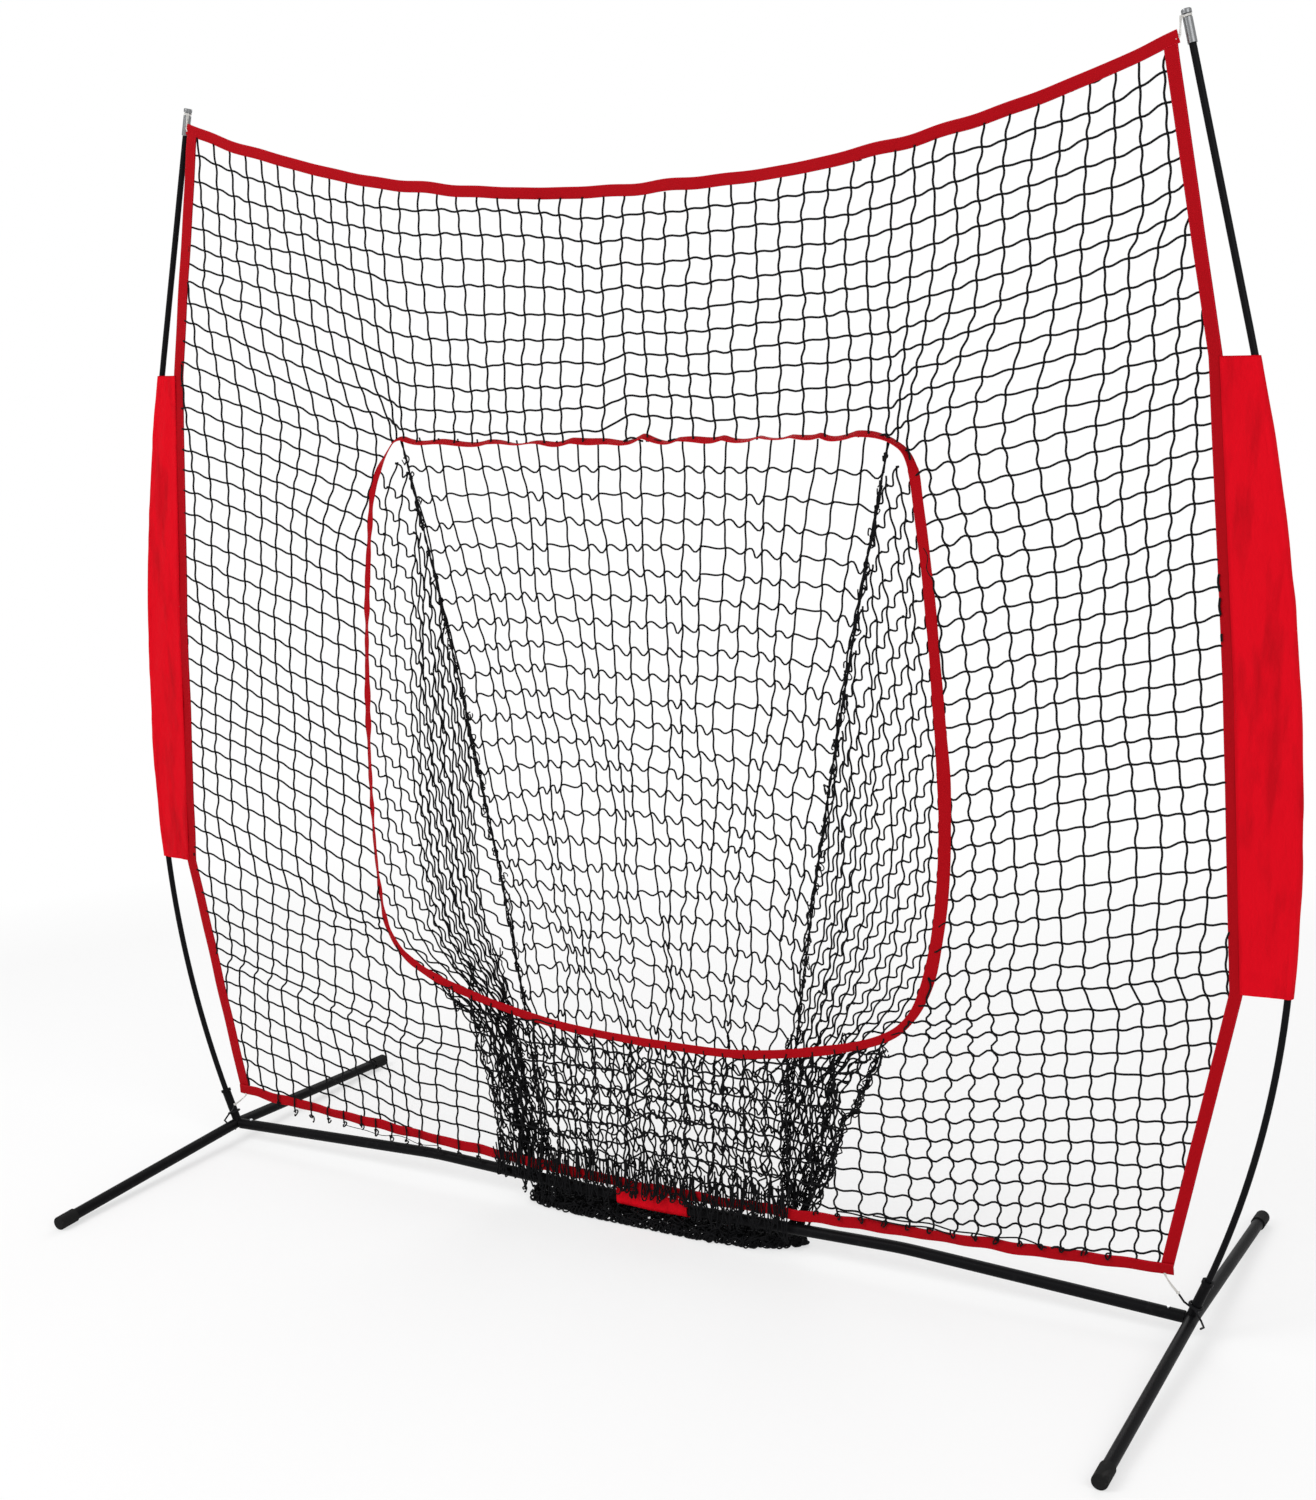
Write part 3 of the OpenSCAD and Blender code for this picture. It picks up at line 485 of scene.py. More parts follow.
@dataclass(frozen=True)
class Elastic(Finish):
    """White braided elastic cord, a little soiled, with painted shade in the braid's gaps."""

    braid: float = 0.0030
    soil: float = 130.0
    # painted shade: the grey that the braid's gaps are darkened to
    gap_colour: Colour = (0.42, 0.41, 0.39)
    soil_colour: Colour = (0.47, 0.45, 0.41)

    def make(self, tree: Tree) -> bpy.types.Material:
        """Fills the tree. See Finish.make."""
        along, across = tree.run()
        turn = across * (4 * math.tau)
        left = (along * (math.tau / self.braid) + turn).sine()
        right = (along * (math.tau / self.braid) - turn).sine()
        braid = left * right * 0.5 + 0.5
        soil = tree.noise(self.soil, 5.0)
        # painted shade: the base colour darkens along the braid pattern, standing for shade in its gaps
        tone = tree.blend(braid * 0.7, self.colour, self.gap_colour)
        return self.principled(
            tree,
            Base_Color=tree.blend(soil * 0.4, tone, self.soil_colour),
            Roughness=self.roughness,
            Normal=tree.bump(braid, 0.0005, 0.9),
            Sheen_Weight=0.15,
        )


TUBE = PowderCoat("tube_powder_coat", (0.0045, 0.0045, 0.005), 0.38)
CAP = Rubber("cap_rubber", (0.010, 0.010, 0.010), 0.78)
POLE = GlassFibre("pole_glass_fibre", (0.004, 0.004, 0.0045), 0.22)
TIP = TurnedMetal("tip_satin_metal", (0.21, 0.215, 0.22), 0.34)
ZINC = TurnedMetal("zinc_plate", (0.62, 0.63, 0.65), 0.26, 400.0, 0.2)
WIRE = PowderCoat("hook_wire_coat", (0.009, 0.009, 0.010), 0.34)
TWINE = NetTwine("net_twine", (0.0035, 0.0035, 0.004), 0.60)
RED_TAPE = Webbing("red_webbing", (0.39, 0.0005, 0.005), 0.68)
RED_CLOTH = Cloth("red_cloth", (0.69, 0.0004, 0.009), 0.70)
CORD = Elastic("white_elastic", (0.80, 0.79, 0.76), 0.72)

SLOT_FINISH: dict[str, Finish] = {
    "tube_steel": TUBE,
    "cap_rubber": CAP,
    "pole_fibreglass": POLE,
    "tip_metal": TIP,
    "bright_steel": ZINC,
    "hook_wire": WIRE,
}


# ---- mesh tools


def unit(vectors: Array) -> Array:
    """Scales each vector to length 1."""
    size = np.linalg.norm(vectors, axis=-1, keepdims=True)
    return vectors / np.maximum(size, 1e-9)


def tangents(path: Array) -> Array:
    """Unit directions along a path at each of its points."""
    return unit(np.gradient(path, axis=0))


def distance_along(path: Array) -> Array:
    """Length from the start of a path to each of its points."""
    return np.concatenate([[0.0], np.cumsum(np.linalg.norm(np.diff(path, axis=0), axis=1))])


def points_at(path: Array, spots: Array) -> Array:
    """Points at given distances along a path."""
    long = distance_along(path)
    return np.stack([np.interp(spots, long, column) for column in path.T], 1)


def carried(path: Array) -> Array:
    """A side direction carried along a path without twisting."""
    forward = tangents(path)
    first = BACK if abs(forward[0] @ BACK) < 0.8 else ACROSS
    side = np.empty_like(path)
    held = np.cross(forward[0], first)
    for k, ahead in enumerate(forward):
        held = held - ahead * (held @ ahead)
        held = held / max(float(np.linalg.norm(held)), 1e-9)
        side[k] = held
    return side


def curve_through(knots: Array, steps: int) -> Array:
    """A smooth curve through given points.

    Args:
        knots: the points, one row each.
        steps: parts between two points.

    Returns:
        The curve's points.
    """
    padded = np.vstack([2 * knots[0] - knots[1], knots, 2 * knots[-1] - knots[-2]])
    f = (np.arange(steps) / steps)[None, :, None]
    a, b, c, d = (padded[k : len(padded) - 3 + k, None, :] for k in range(4))
    run = 0.5 * (
        2 * b + (c - a) * f + (2 * a - 5 * b + 4 * c - d) * f**2 + (3 * b - a - 3 * c + d) * f**3
    )
    return np.vstack([run.reshape(-1, knots.shape[1]), knots[-1:]])


@dataclass
class Skin:
    """Gathers the faces of one mesh, each corner with its place on the string or ribbon."""

    points: list[Array] = field(default_factory=list)
    corners: list[Array] = field(default_factory=list)
    sizes: list[Array] = field(default_factory=list)
    places: list[Array] = field(default_factory=list)
    count: int = 0

    def faces(self, points: Array, corners: Array, places: Array) -> None:
        """Adds faces that all have the same number of corners.

        Args:
            points: the new points, one row each.
            corners: for each face the rows of its points.
            places: for each corner how far along and across it lies.
        """
        self.points.append(points)
        self.corners.append((corners + self.count).ravel())
        self.sizes.append(np.full(len(corners), corners.shape[1]))
        self.places.append(places.reshape(-1, 2))
        self.count += len(points)

    def sweep(self, rings: Array, along: Array, across: Array, ends: bool = True) -> None:
        """Adds a closed section swept along a path.

        Args:
            rings: the section's points at each station, stations first.
            along: distance of each station.
            across: place of each point of the section, with one more to close it.
            ends: whether both ends are closed.
        """
        m, n = rings.shape[:2]
        i, j = np.meshgrid(np.arange(m - 1), np.arange(n), indexing="ij")
        i, j = i.ravel(), j.ravel()
        k = (j + 1) % n
        corners = np.stack([i * n + j, i * n + k, (i + 1) * n + k, (i + 1) * n + j], 1)
        u = np.stack([along[i], along[i], along[i + 1], along[i + 1]], 1)
        v = np.stack([across[j], across[j + 1], across[j + 1], across[j]], 1)
        self.faces(rings.reshape(-1, 3), corners, np.stack([u, v], 2))
        if ends:
            for ring, u_end, order in ((rings[0], along[0], -1), (rings[-1], along[-1], 1)):
                place = np.stack([np.full(n, u_end), across[:n]], 1)[::order]
                self.faces(ring, np.arange(n)[::order][None, :], place)

    def string(
        self, path: Array, radius: float | Array, sides: int = 5, facing: Array | None = None
    ) -> None:
        """Adds a round string.

        Args:
            path: its centre line.
            radius: its radius, one number or one for each point.
            sides: sides of its section.
            facing: a direction the path never points in, otherwise the section is carried.
        """
        forward = tangents(path)
        side = carried(path) if facing is None else unit(np.cross(forward, facing))
        other = np.cross(forward, side)
        turn = math.tau * np.arange(sides) / sides
        size = np.broadcast_to(np.asarray(radius, float), (len(path),))[:, None, None]
        wheel = side[:, None] * np.cos(turn)[None, :, None]
        wheel = wheel + other[:, None] * np.sin(turn)[None, :, None]
        rings = path[:, None] + size * wheel
        self.sweep(rings, distance_along(path), np.arange(sides + 1) / sides)

    def ribbon(self, path: Array, flat: Array, width: float | Array, thick: float) -> None:
        """Adds a flat tape with rounded edges.

        Args:
            path: its centre line.
            flat: direction across the tape at each point.
            width: its width, one number or one for each point.
            thick: its thickness.
        """
        forward = tangents(path)
        flat = unit(flat - forward * np.sum(flat * forward, axis=1, keepdims=True))
        out = np.cross(forward, flat)
        half = np.broadcast_to(np.asarray(width, float) / 2, (len(path),))[:, None]
        turn = np.linspace(-math.pi / 2, math.pi / 2, 5)
        edge = np.cos(turn) * thick * 0.5
        rise = np.sin(turn) * thick * 0.5
        spread = np.array([-0.66, -0.33, 0.0, 0.33, 0.66])
        a = np.concatenate([np.ones(len(turn)), spread[::-1], -np.ones(len(turn)), spread])
        shift = np.concatenate([edge, np.zeros(5), -edge, np.zeros(5)])
        b = np.concatenate([rise, np.full(5, thick * 0.56), -rise, np.full(5, -thick * 0.56)])
        a_at = a[None, :] * (half - thick * 0.5) + shift[None, :]
        rings = path[:, None] + flat[:, None] * a_at[:, :, None]
        rings = rings + out[:, None] * b[None, :, None]
        mean = a_at.mean(0)
        self.sweep(rings, distance_along(path), np.append(mean, mean[0]))

    def shell(self, outer: Array, inner: Array, along: Array, across: Array) -> None:
        """Adds a thin closed sheet between an outer and an inner grid of points.

        Args:
            outer: the outer points, stations first.
            inner: the inner points, in the same order.
            along: distance of each station.
            across: place of each point of a station.
        """
        m, n = outer.shape[:2]
        rings = np.concatenate([outer, inner[:, ::-1]], 1)
        place = np.concatenate([across, across[::-1], across[:1]])
        self.sweep(rings, along, place, ends=False)
        for station, turn in ((0, 1), (m - 1, -1)):
            k = np.arange(n - 1)
            base = station * 2 * n
            corners = np.stack([k, k + 1, 2 * n - 2 - k, 2 * n - 1 - k], 1)[:, ::turn] + base
            u = np.full((n - 1, 4), along[station])
            v = np.stack([across[:-1], across[1:], across[1:], across[:-1]], 1)[:, ::turn]
            self.corners.append((corners + self.count - len(self.points[-1])).ravel())
            self.sizes.append(np.full(n - 1, 4))
            self.places.append(np.stack([u, v], 2).reshape(-1, 2))

    def knots(self, centres: Array, radii: Array) -> None:
        """Adds small rounded knots.

        Args:
            centres: their centres.
            radii: their radii, one row of three each.
        """
        g = (1 + 5**0.5) / 2
        ball = unit(np.array([
            [-1, g, 0], [1, g, 0], [-1, -g, 0], [1, -g, 0], [0, -1, g], [0, 1, g],
            [0, -1, -g], [0, 1, -g], [g, 0, -1], [g, 0, 1], [-g, 0, -1], [-g, 0, 1],
        ], float))
        tri = np.array([
            [0, 11, 5], [0, 5, 1], [0, 1, 7], [0, 7, 10], [0, 10, 11], [1, 5, 9], [5, 11, 4],
            [11, 10, 2], [10, 7, 6], [7, 1, 8], [3, 9, 4], [3, 4, 2], [3, 2, 6], [3, 6, 8],
            [3, 8, 9], [4, 9, 5], [2, 4, 11], [6, 2, 10], [8, 6, 7], [9, 8, 1],
        ])
        n = len(centres)
        points = (centres[:, None] + ball[None] * radii[:, None]).reshape(-1, 3)
        corners = (tri[None] + 12 * np.arange(n)[:, None, None]).reshape(-1, 3)
        place = np.zeros((len(corners), 3, 2))
        place[:, :, 0] = points[corners][:, :, 2]
        self.faces(points, corners, place)

    def piece(self, name: str, finish: Finish, slot: str, *nodes: str) -> bpy.types.Object:
        """Turns the gathered faces into a piece that rides on the frame.

        Args:
            name: the piece's name.
            finish: its finish.
            slot: the record's material slot that it belongs to; not used.
            nodes: the CAD nodes that it stands for.

        Returns:
            The new object.
        """
        points = np.vstack(self.points).astype(np.float32)
        corners = np.concatenate(self.corners).astype(np.int32)
        sizes = np.concatenate(self.sizes)
        mesh = bpy.data.meshes.new(name)
        mesh.vertices.add(len(points))
        mesh.vertices.foreach_set("co", points.ravel())
        mesh.loops.add(len(corners))
        mesh.loops.foreach_set("vertex_index", corners)
        mesh.polygons.add(len(sizes))
        starts = np.concatenate([[0], np.cumsum(sizes)[:-1]]).astype(np.int32)
        mesh.polygons.foreach_set("loop_start", starts)
        mesh.polygons.foreach_set("use_smooth", np.ones(len(sizes), bool))
        run = mesh.uv_layers.new(name="run")
        run.data.foreach_set("uv", np.vstack(self.places).astype(np.float32).ravel())
        mesh.update(calc_edges=True)
        mesh.validate()
        mesh.materials.append(finish.material())
        made = bpy.data.objects.new(name, mesh)
        bpy.context.scene.collection.objects.link(made)
        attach(made, BODY)
        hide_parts(*nodes)
        return made


class Drift:
    """A smooth shift that varies over a surface, the same on each run."""

    def __init__(self, seed: int, size: float, wave: float, count: int = 7) -> None:
        """Draws the waves.

        Args:
            seed: the seed.
            size: the usual size of the shift.
            wave: the usual length of a wave.
            count: number of waves.
        """
        draw = np.random.default_rng(seed)
        angle = draw.uniform(0, math.tau, count)
        length = wave * draw.uniform(0.6, 1.6, count)
        self.steps = np.stack([np.cos(angle), np.sin(angle)], 1) * (math.tau / length)[:, None]
        self.phase = draw.uniform(0, math.tau, count)
        self.size = size * (2 / count) ** 0.5

    def __call__(self, a: Array, b: Array) -> Array:
        """The shift at given places."""
        a, b = np.broadcast_arrays(np.asarray(a, float), np.asarray(b, float))
        turn = a[..., None] * self.steps[:, 0] + b[..., None] * self.steps[:, 1] + self.phase
        return self.size * np.cos(turn).sum(-1)

    def along(self, run: Array) -> Array:
        """The shift at given distances along a line."""
        return self(run, 0 * run)


def mix(low: Any, high: Any, share: Any) -> Any:
    """The value a share of the way from low to high."""
    return low + (high - low) * share


def bell(off: Array, wide: float | Array) -> Array:
    """A bell curve: 1 in the middle and near 0 at twice the width."""
    return np.exp(-((off / wide) ** 2))


def past(value: Array, edge: float, wide: float) -> Array:
    """A soft step: 0 well below an edge and 1 well past it."""
    return 1 / (1 + np.exp((edge - value) / wide))


# ---- shapes of the net


@dataclass(frozen=True)
class NetHang:
    """How the flat net hangs between its webbing."""

    low_z: float = 0.127
    rise: float = 1.962
    plane_y: float = -0.014
    low_sag: float = 0.042
    more_sag: float = 0.118
    webbing: float = 0.025
    crease_at: float = 0.50
    levels: tuple[float, ...] = (0.127, 0.628, 1.130, 1.632, 2.089)
    halves: tuple[float, ...] = (1.010, 1.108, 1.078, 1.037, 0.9522)
    stops: tuple[float, ...] = (0.0, 0.08, 0.2, 0.5, 0.74, 0.9, 1.0)
    left_pull: tuple[float, ...] = (0.100, 0.116, 0.144, 0.175, 0.172, 0.146, 0.122)
    right_pull: tuple[float, ...] = (0.078, 0.090, 0.112, 0.128, 0.145, 0.137, 0.122)
    belly: tuple[float, ...] = (0.016, 0.012, 0.0, 0.0, 0.002, 0.022, 0.038)
    bend: tuple[float, ...] = (0.87, 0.9, 1.0, 1.0, 1.0, 0.85, 0.75)

    def half(self, z: Array) -> Array:
        """Half the net's width at a height."""
        return np.interp(z, self.levels, self.halves)

    def height(self, x: Array, share: Array) -> Array:
        """Height of the edge that lies a share of the way up, at a distance from the middle."""
        level = self.low_z + self.rise * share
        sag = self.low_sag + self.more_sag * share
        across = np.minimum(np.abs(x) / self.half(level), 1.03)
        return level - sag * (1 - across ** (1.5 + 0.7 * share))

    def row(self, x: Array, share: Array) -> Array:
        """Height of a row of mesh, which the opening's upper corners pull down."""
        level = self.low_z + self.rise * share
        left, right, belly, bend = (
            np.interp(share, self.stops, table)
            for table in (self.left_pull, self.right_pull, self.belly, self.bend)
        )
        pull = np.where(np.asarray(x) < 0, left, right)
        across = np.minimum(np.abs(x) / self.half(level), 1.0)
        out = np.clip((1 - across) / (1 - self.crease_at), 0, 1)
        within = np.clip(across / self.crease_at, 0, 1)
        return level - pull * out**bend - belly * (1 - within**2)


@dataclass(frozen=True)
class Opening:
    """The outline of the rounded opening in the net, as its tape hangs."""

    right_edge: tuple[tuple[float, float], ...] = (
        (0.0, 1.504), (0.27, 1.507), (0.46, 1.512), (0.515, 1.503), (0.541, 1.466),
        (0.553, 1.400), (0.573, 1.250), (0.590, 1.070), (0.602, 0.920), (0.602, 0.780),
        (0.592, 0.670), (0.573, 0.575), (0.540, 0.505), (0.484, 0.459), (0.370, 0.421),
        (0.200, 0.389), (0.0, 0.382),
    )
    left_edge: tuple[tuple[float, float], ...] = (
        (0.0, 1.504), (0.25, 1.500), (0.45, 1.502), (0.500, 1.508), (0.528, 1.488),
        (0.566, 1.425), (0.580, 1.360), (0.600, 1.200), (0.612, 1.030), (0.618, 0.860),
        (0.617, 0.700), (0.607, 0.580), (0.590, 0.525), (0.550, 0.480), (0.470, 0.443),
        (0.340, 0.411), (0.180, 0.388), (0.0, 0.382),
    )
    steps: int = 10
    side_from: int = 3
    floor_from: int = 11

    def edge(self, side: Side) -> Array:
        """One half of the outline, from the top middle down, as distances from the middle."""
        return curve_through(np.array(getattr(self, side.word + "_edge")), self.steps)

    def ring(self) -> Array:
        """The whole outline, closed, from the top middle round by the right."""
        left = self.edge(Side.LEFT)[-2:0:-1] * np.array([-1, 1])
        return np.vstack([self.edge(Side.RIGHT), left])

    def holds(self, x: Array, z: Array) -> Array:
        """Whether places lie inside the outline."""
        ring = self.ring()
        after = np.roll(ring, -1, axis=0)
        x, z = np.asarray(x, float)[..., None], np.asarray(z, float)[..., None]
        spans = (ring[:, 1] > z) != (after[:, 1] > z)
        rise = np.where(after[:, 1] == ring[:, 1], 1e-9, after[:, 1] - ring[:, 1])
        at = ring[:, 0] + (z - ring[:, 1]) * (after[:, 0] - ring[:, 0]) / rise
        return (spans & (x < at)).sum(-1) % 2 == 1

    def half(self, z: Array, side: Side) -> Array:
        """Distance of the outline's side from the middle at a height."""
        down = self.edge(side)[self.side_from * self.steps :]
        return np.interp(z, down[::-1, 1], down[::-1, 0])

    def floor(self, x: Array) -> Array:
        """Height of the outline's lower edge at a place."""
        lower = [self.edge(side)[self.floor_from * self.steps :][::-1] for side in Side]
        on_left, on_right = (np.interp(np.abs(x), part[:, 0], part[:, 1]) for part in lower)
        return np.where(np.asarray(x) > 0, on_right, on_left)


@dataclass(frozen=True)
class PouchShape:
    """The surfaces of the pouch behind the opening."""

    low_z: float = 0.0303
    top_z: float = 1.512
    front_y: float = -0.0112
    depth: float = 0.044
    behind_bar: float = 0.0139
    low_half: float = 0.276
    top_half: float = 0.500
    narrow_z: float = 0.150
    gather_z: float = 0.390
    gather_rise: float = 0.085
    front_levels: tuple[float, ...] = (
        0.030, 0.055, 0.100, 0.167, 0.270, 0.345, 0.385, 0.430, 0.475,
    )
    front_halves: tuple[float, ...] = (
        0.296, 0.318, 0.346, 0.371, 0.390, 0.402, 0.428, 0.465, 0.510,
    )

    def share(self, z: Array) -> Array:
        """Share of the way up the pouch."""
        return np.clip((np.asarray(z, float) - self.low_z) / (self.top_z - self.low_z), 0, 1)

    def back_y(self, z: Array) -> Array:
        """How far back the pouch's back hangs."""
        return self.front_y + self.depth * (1 - self.share(z)) ** 0.9

    def back_half(self, z: Array) -> Array:
        """Half the width of the pouch's back."""
        up = (np.asarray(z, float) - self.narrow_z) / (self.top_z - self.narrow_z)
        return mix(self.low_half, self.top_half, np.maximum(up, 0) ** 1.35)

    def front_at(self, z: Array) -> Array:
        """How far back the pouch's front hangs, which passes behind the bar low down."""
        low = np.clip((0.3 - self.share(z)) / 0.2, 0, 1)
        return mix(self.front_y, self.behind_bar, low)

    def front_half(self, z: Array) -> Array:
        """Half the width of the pouch's front, which narrows fast under the opening."""
        return np.interp(z, self.front_levels, self.front_halves)

    def side_half(self, z: Array, side: Side) -> Array:
        """Outer edge of the pouch's side panel."""
        z = np.asarray(z, float)
        below = self.front_half(np.minimum(z, self.gather_z))
        above = OPENING.half(np.maximum(z, self.gather_z + self.gather_rise), side)
        return mix(below, above, np.clip((z - self.gather_z) / self.gather_rise, 0, 1))


HANG = NetHang()
OPENING = Opening()
POUCH = PouchShape()


# ---- pieces of string


@dataclass(frozen=True)
class Thread:
    """How a string lies between its knots."""

    steps: int = 6
    radius: float = 0.0019

    def lie(self, knots: Array, sag: Array, hump: Array, sway: Array) -> Array:
        """Lays a string through its knots.

        Args:
            knots: the knots, one row each.
            sag: how far each part hangs below its ends.
            hump: how far each part rises in its first half and falls in its second.
            sway: how far each part bows sideways, one way and then the other.

        Returns:
            The string's path.
        """
        path = curve_through(knots, self.steps)
        f = np.tile(np.arange(self.steps) / self.steps, len(knots) - 1)
        each = np.repeat(np.arange(len(knots) - 1), self.steps)
        path[:-1, 2] += hump[each] * np.sin(math.tau * f) - sag[each] * np.sin(math.pi * f)
        path[:-1, 0] += sway[each] * np.sin(math.tau * f)
        return path


def curl(centre: Array, wide: float, tall: float, draw: np.random.Generator) -> Array:
    """A loose loop of string.

    Args:
        centre: its middle.
        wide: half its width.
        tall: half its height.
        draw: the source of unevenness.

    Returns:
        The loop's path.
    """
    turn = np.linspace(0, math.tau * draw.uniform(0.72, 1.05), 13) + draw.uniform(0, math.tau)
    lean = draw.uniform(-0.5, 0.5)
    x = wide * np.cos(turn) + lean * tall * np.sin(turn)
    y = 0.0022 * np.sin(2 * turn + draw.uniform(0, 3))
    return centre + np.stack([x, y, tall * np.sin(turn)], 1)


@dataclass(frozen=True)
class Fold:
    """A fold in the net along a slanting line, where rows crowd and columns step sideways."""

    start: tuple[float, float]
    end: tuple[float, float]
    step: float
    crowd: float

    def shift(self, x: Array, z: Array) -> tuple[Array, Array]:
        """How far knots move sideways and up."""
        share = (x - self.start[0]) / (self.end[0] - self.start[0])
        above = z - mix(self.start[1], self.end[1], share)
        near = past(np.minimum(share, 1 - share), 0.0, 0.06)
        aside = self.step * np.tanh(above / 0.022) * bell(above, 0.14)
        rise = self.crowd * np.tanh(above / 0.03) * bell(above, 0.11)
        return near * aside, -near * rise


@dataclass(frozen=True)
class LooseEnd:
    """A string's end that lies loose along the lower webbing."""

    start: float
    stop: float
    first_rise: float
    last_rise: float
    radius: float


@dataclass
class MainNet:
    """The square mesh that fills the frame round the opening, in its six panels."""

    reach: int = 29
    rows: int = 47
    middle_pitch: float = 0.0428
    side_pitch: float = 0.0400
    middle_half: float = 0.50
    half_cell: float = 0.02
    row_stops: tuple[float, ...] = (-0.03, 0, 0.243, 0.632, 1, 1.03)
    row_shares: tuple[float, ...] = (-0.03, 0, 0.241, 0.649, 1, 1.03)
    under_webbing: float = 0.0085
    thread: Thread = Thread(6, 0.0020)
    jitter: float = 0.0012
    lean_levels: tuple[float, ...] = (0.1, 0.45, 0.7, 1.55, 1.75, 2.1)
    leans: tuple[float, ...] = (-0.038, -0.036, -0.026, 0.020, 0.014, 0)
    upper_corner: tuple[float, float] = (0.60, 1.50)
    corner_pulls: tuple[float, float] = (0.070, 0.050)
    low_corners: tuple[tuple[float, float], ...] = ((-0.625, 0.540), (0.590, 0.500))
    low_crowd: float = 0.52
    folds: tuple[Fold, ...] = (
        Fold((-1.08, 0.425), (-0.42, 0.285), 0.011, 0.013),
        Fold((-1.06, 1.920), (-0.70, 1.640), 0.008, 0.004),
        Fold((-1.08, 0.700), (-0.66, 0.560), -0.008, 0.005),
        Fold((0.70, 0.545), (1.10, 0.640), -0.009, 0.006),
        Fold((0.86, 1.800), (1.06, 1.880), 0.008, 0.007),
    )
    panel_half: float = 0.6
    middle_panel: float = 0.3
    top_from: float = 14 / 19
    foot_to: float = 4 / 19
    knot: tuple[float, float, float] = (0.0030, 0.0024, 0.0029)
    tails_to: float = 0.94
    tail_gap: tuple[float, float] = (-0.25, 0.31)
    tail_out: float = 0.0040
    tail_top: float = 0.013
    tail_lengths: tuple[float, float] = (0.012, 0.024)
    curl_rise: float = 0.010
    loose_ends: tuple[LooseEnd, ...] = (
        LooseEnd(0.40, 0.62, 0.020, 0.010, 0.0015),
        LooseEnd(0.47, 0.80, 0.024, 0.012, 0.0015),
        LooseEnd(-0.74, -0.50, -0.020, -0.017, 0.0008),
    )

    def shares(self) -> Array:
        """Share of the way up of each row, with one row more below and above."""
        return np.interp(np.arange(-1, self.rows + 2) / self.rows, self.row_stops, self.row_shares)

    def columns(self) -> Array:
        """Distance of each column from the middle, at the net's top."""
        count = np.arange(-self.reach, self.reach + 1)
        step = np.abs(count) * self.middle_pitch
        closer = 1 - self.side_pitch / self.middle_pitch
        return np.sign(count) * (step - np.maximum(step - self.middle_half, 0) * closer)

    def knots(self) -> Array:
        """Places of all knots, columns first; those past the webbing are cut off later."""
        draw = np.random.default_rng(11)
        x, share = np.meshgrid(self.columns(), self.shares(), indexing="ij")
        z = HANG.row(x, share)
        lean = np.interp(z, self.lean_levels, self.leans)
        x = x - np.sign(x) * lean * np.clip((np.abs(x) - 0.3) / 0.4, 0, 1)
        corner_x, corner_z = self.upper_corner
        for side, pull in zip(Side, self.corner_pulls):
            out = side.value * x - corner_x
            wide = np.where(out > 0, 0.19, 0.075)
            x = x - side.value * pull * bell(out, wide) * bell(z - corner_z, 0.15)
        for fold in self.folds:
            aside, rise = fold.shift(x, z)
            x, z = x + aside, z + rise
        for at_x, at_z in self.low_corners:
            off = z - at_z
            z = z - self.low_crowd * off * bell(x - at_x, 0.13) * bell(off, 0.075)
        x = x + Drift(1, 0.0055, 0.42)(x, z) + draw.normal(0, self.jitter, x.shape)
        z = z + Drift(2, 0.0045, 0.50)(x, z) + draw.normal(0, self.jitter, x.shape)
        y = HANG.plane_y + Drift(3, 0.0015, 0.7)(x, z)
        return np.stack([x, y, z], -1)

    def hidden(self, x: Array, z: Array) -> Array:
        """Whether places lie in the opening, under the webbing or past it."""
        aside = np.abs(x) > HANG.half(z) - self.under_webbing
        above = z > HANG.height(x, np.array(1.0)) - self.under_webbing
        below = z < HANG.height(x, np.array(0.0)) + self.under_webbing
        return OPENING.holds(x, z) | aside | above | below

    def panel(self, x: float, z: float, share: float) -> str:
        """Name of the panel that holds a place."""
        across = x / float(HANG.half(np.array(z)))
        if abs(across) <= self.panel_half and share >= self.top_from:
            return "net_top"
        if abs(across) <= self.panel_half and share < self.foot_to:
            if abs(across) < self.middle_panel:
                return "net_bottom_middle"
            return "net_bottom_left" if across < 0 else "net_bottom_right"
        return "net_left" if across < 0 else "net_right"

    def parts(self, path: Array, share: Array) -> Iterator[tuple[str, Array]]:
        """Cuts a string where it is hidden and where it passes from panel to panel.

        Args:
            path: the string's path.
            share: share of the way up at each point.

        Yields:
            The panel's name and the part of the path in it.
        """
        hidden = self.hidden(path[:, 0], path[:, 2])
        names = [self.panel(p[0], p[2], b) for p, b in zip(path, share)]
        part: list[Array] = []
        for k, point in enumerate(path):
            if hidden[k]:
                if len(part) > 1:
                    part.append(self.meet(part[-1], point))
                    yield names[k - 1], np.array(part)
                part = []
                continue
            if not part and k and hidden[k - 1]:
                part = [self.meet(point, path[k - 1])]
            part.append(point)
            last = k + 1 == len(path)
            if len(part) > 1 and (last or (names[k + 1] != names[k] and not hidden[k + 1])):
                if not last:
                    part.append(path[k + 1])
                yield names[k], np.array(part)
                part = []

    def meet(self, seen: Array, unseen: Array) -> Array:
        """The point between a seen and a hidden point where the string becomes hidden."""
        for _ in range(8):
            middle = (seen + unseen) / 2
            if self.hidden(middle[0], middle[2]):
                unseen = middle
            else:
                seen = middle
        return (seen + unseen) / 2

    def lively(self, x: Array, z: Array) -> Array:
        """How slack the strings are: most beside the opening and near the net's foot."""
        beside = bell(x - 0.64, 0.12) * past(-z, -1.60, 0.06)
        corner = bell(np.hypot(np.abs(x) - 0.62, z - 0.48), 0.12)
        low = np.exp(-np.maximum(z - 0.1, 0) / 0.22) * (x > 0)
        return 0.50 + 0.45 * beside + 0.6 * corner + 0.5 * low

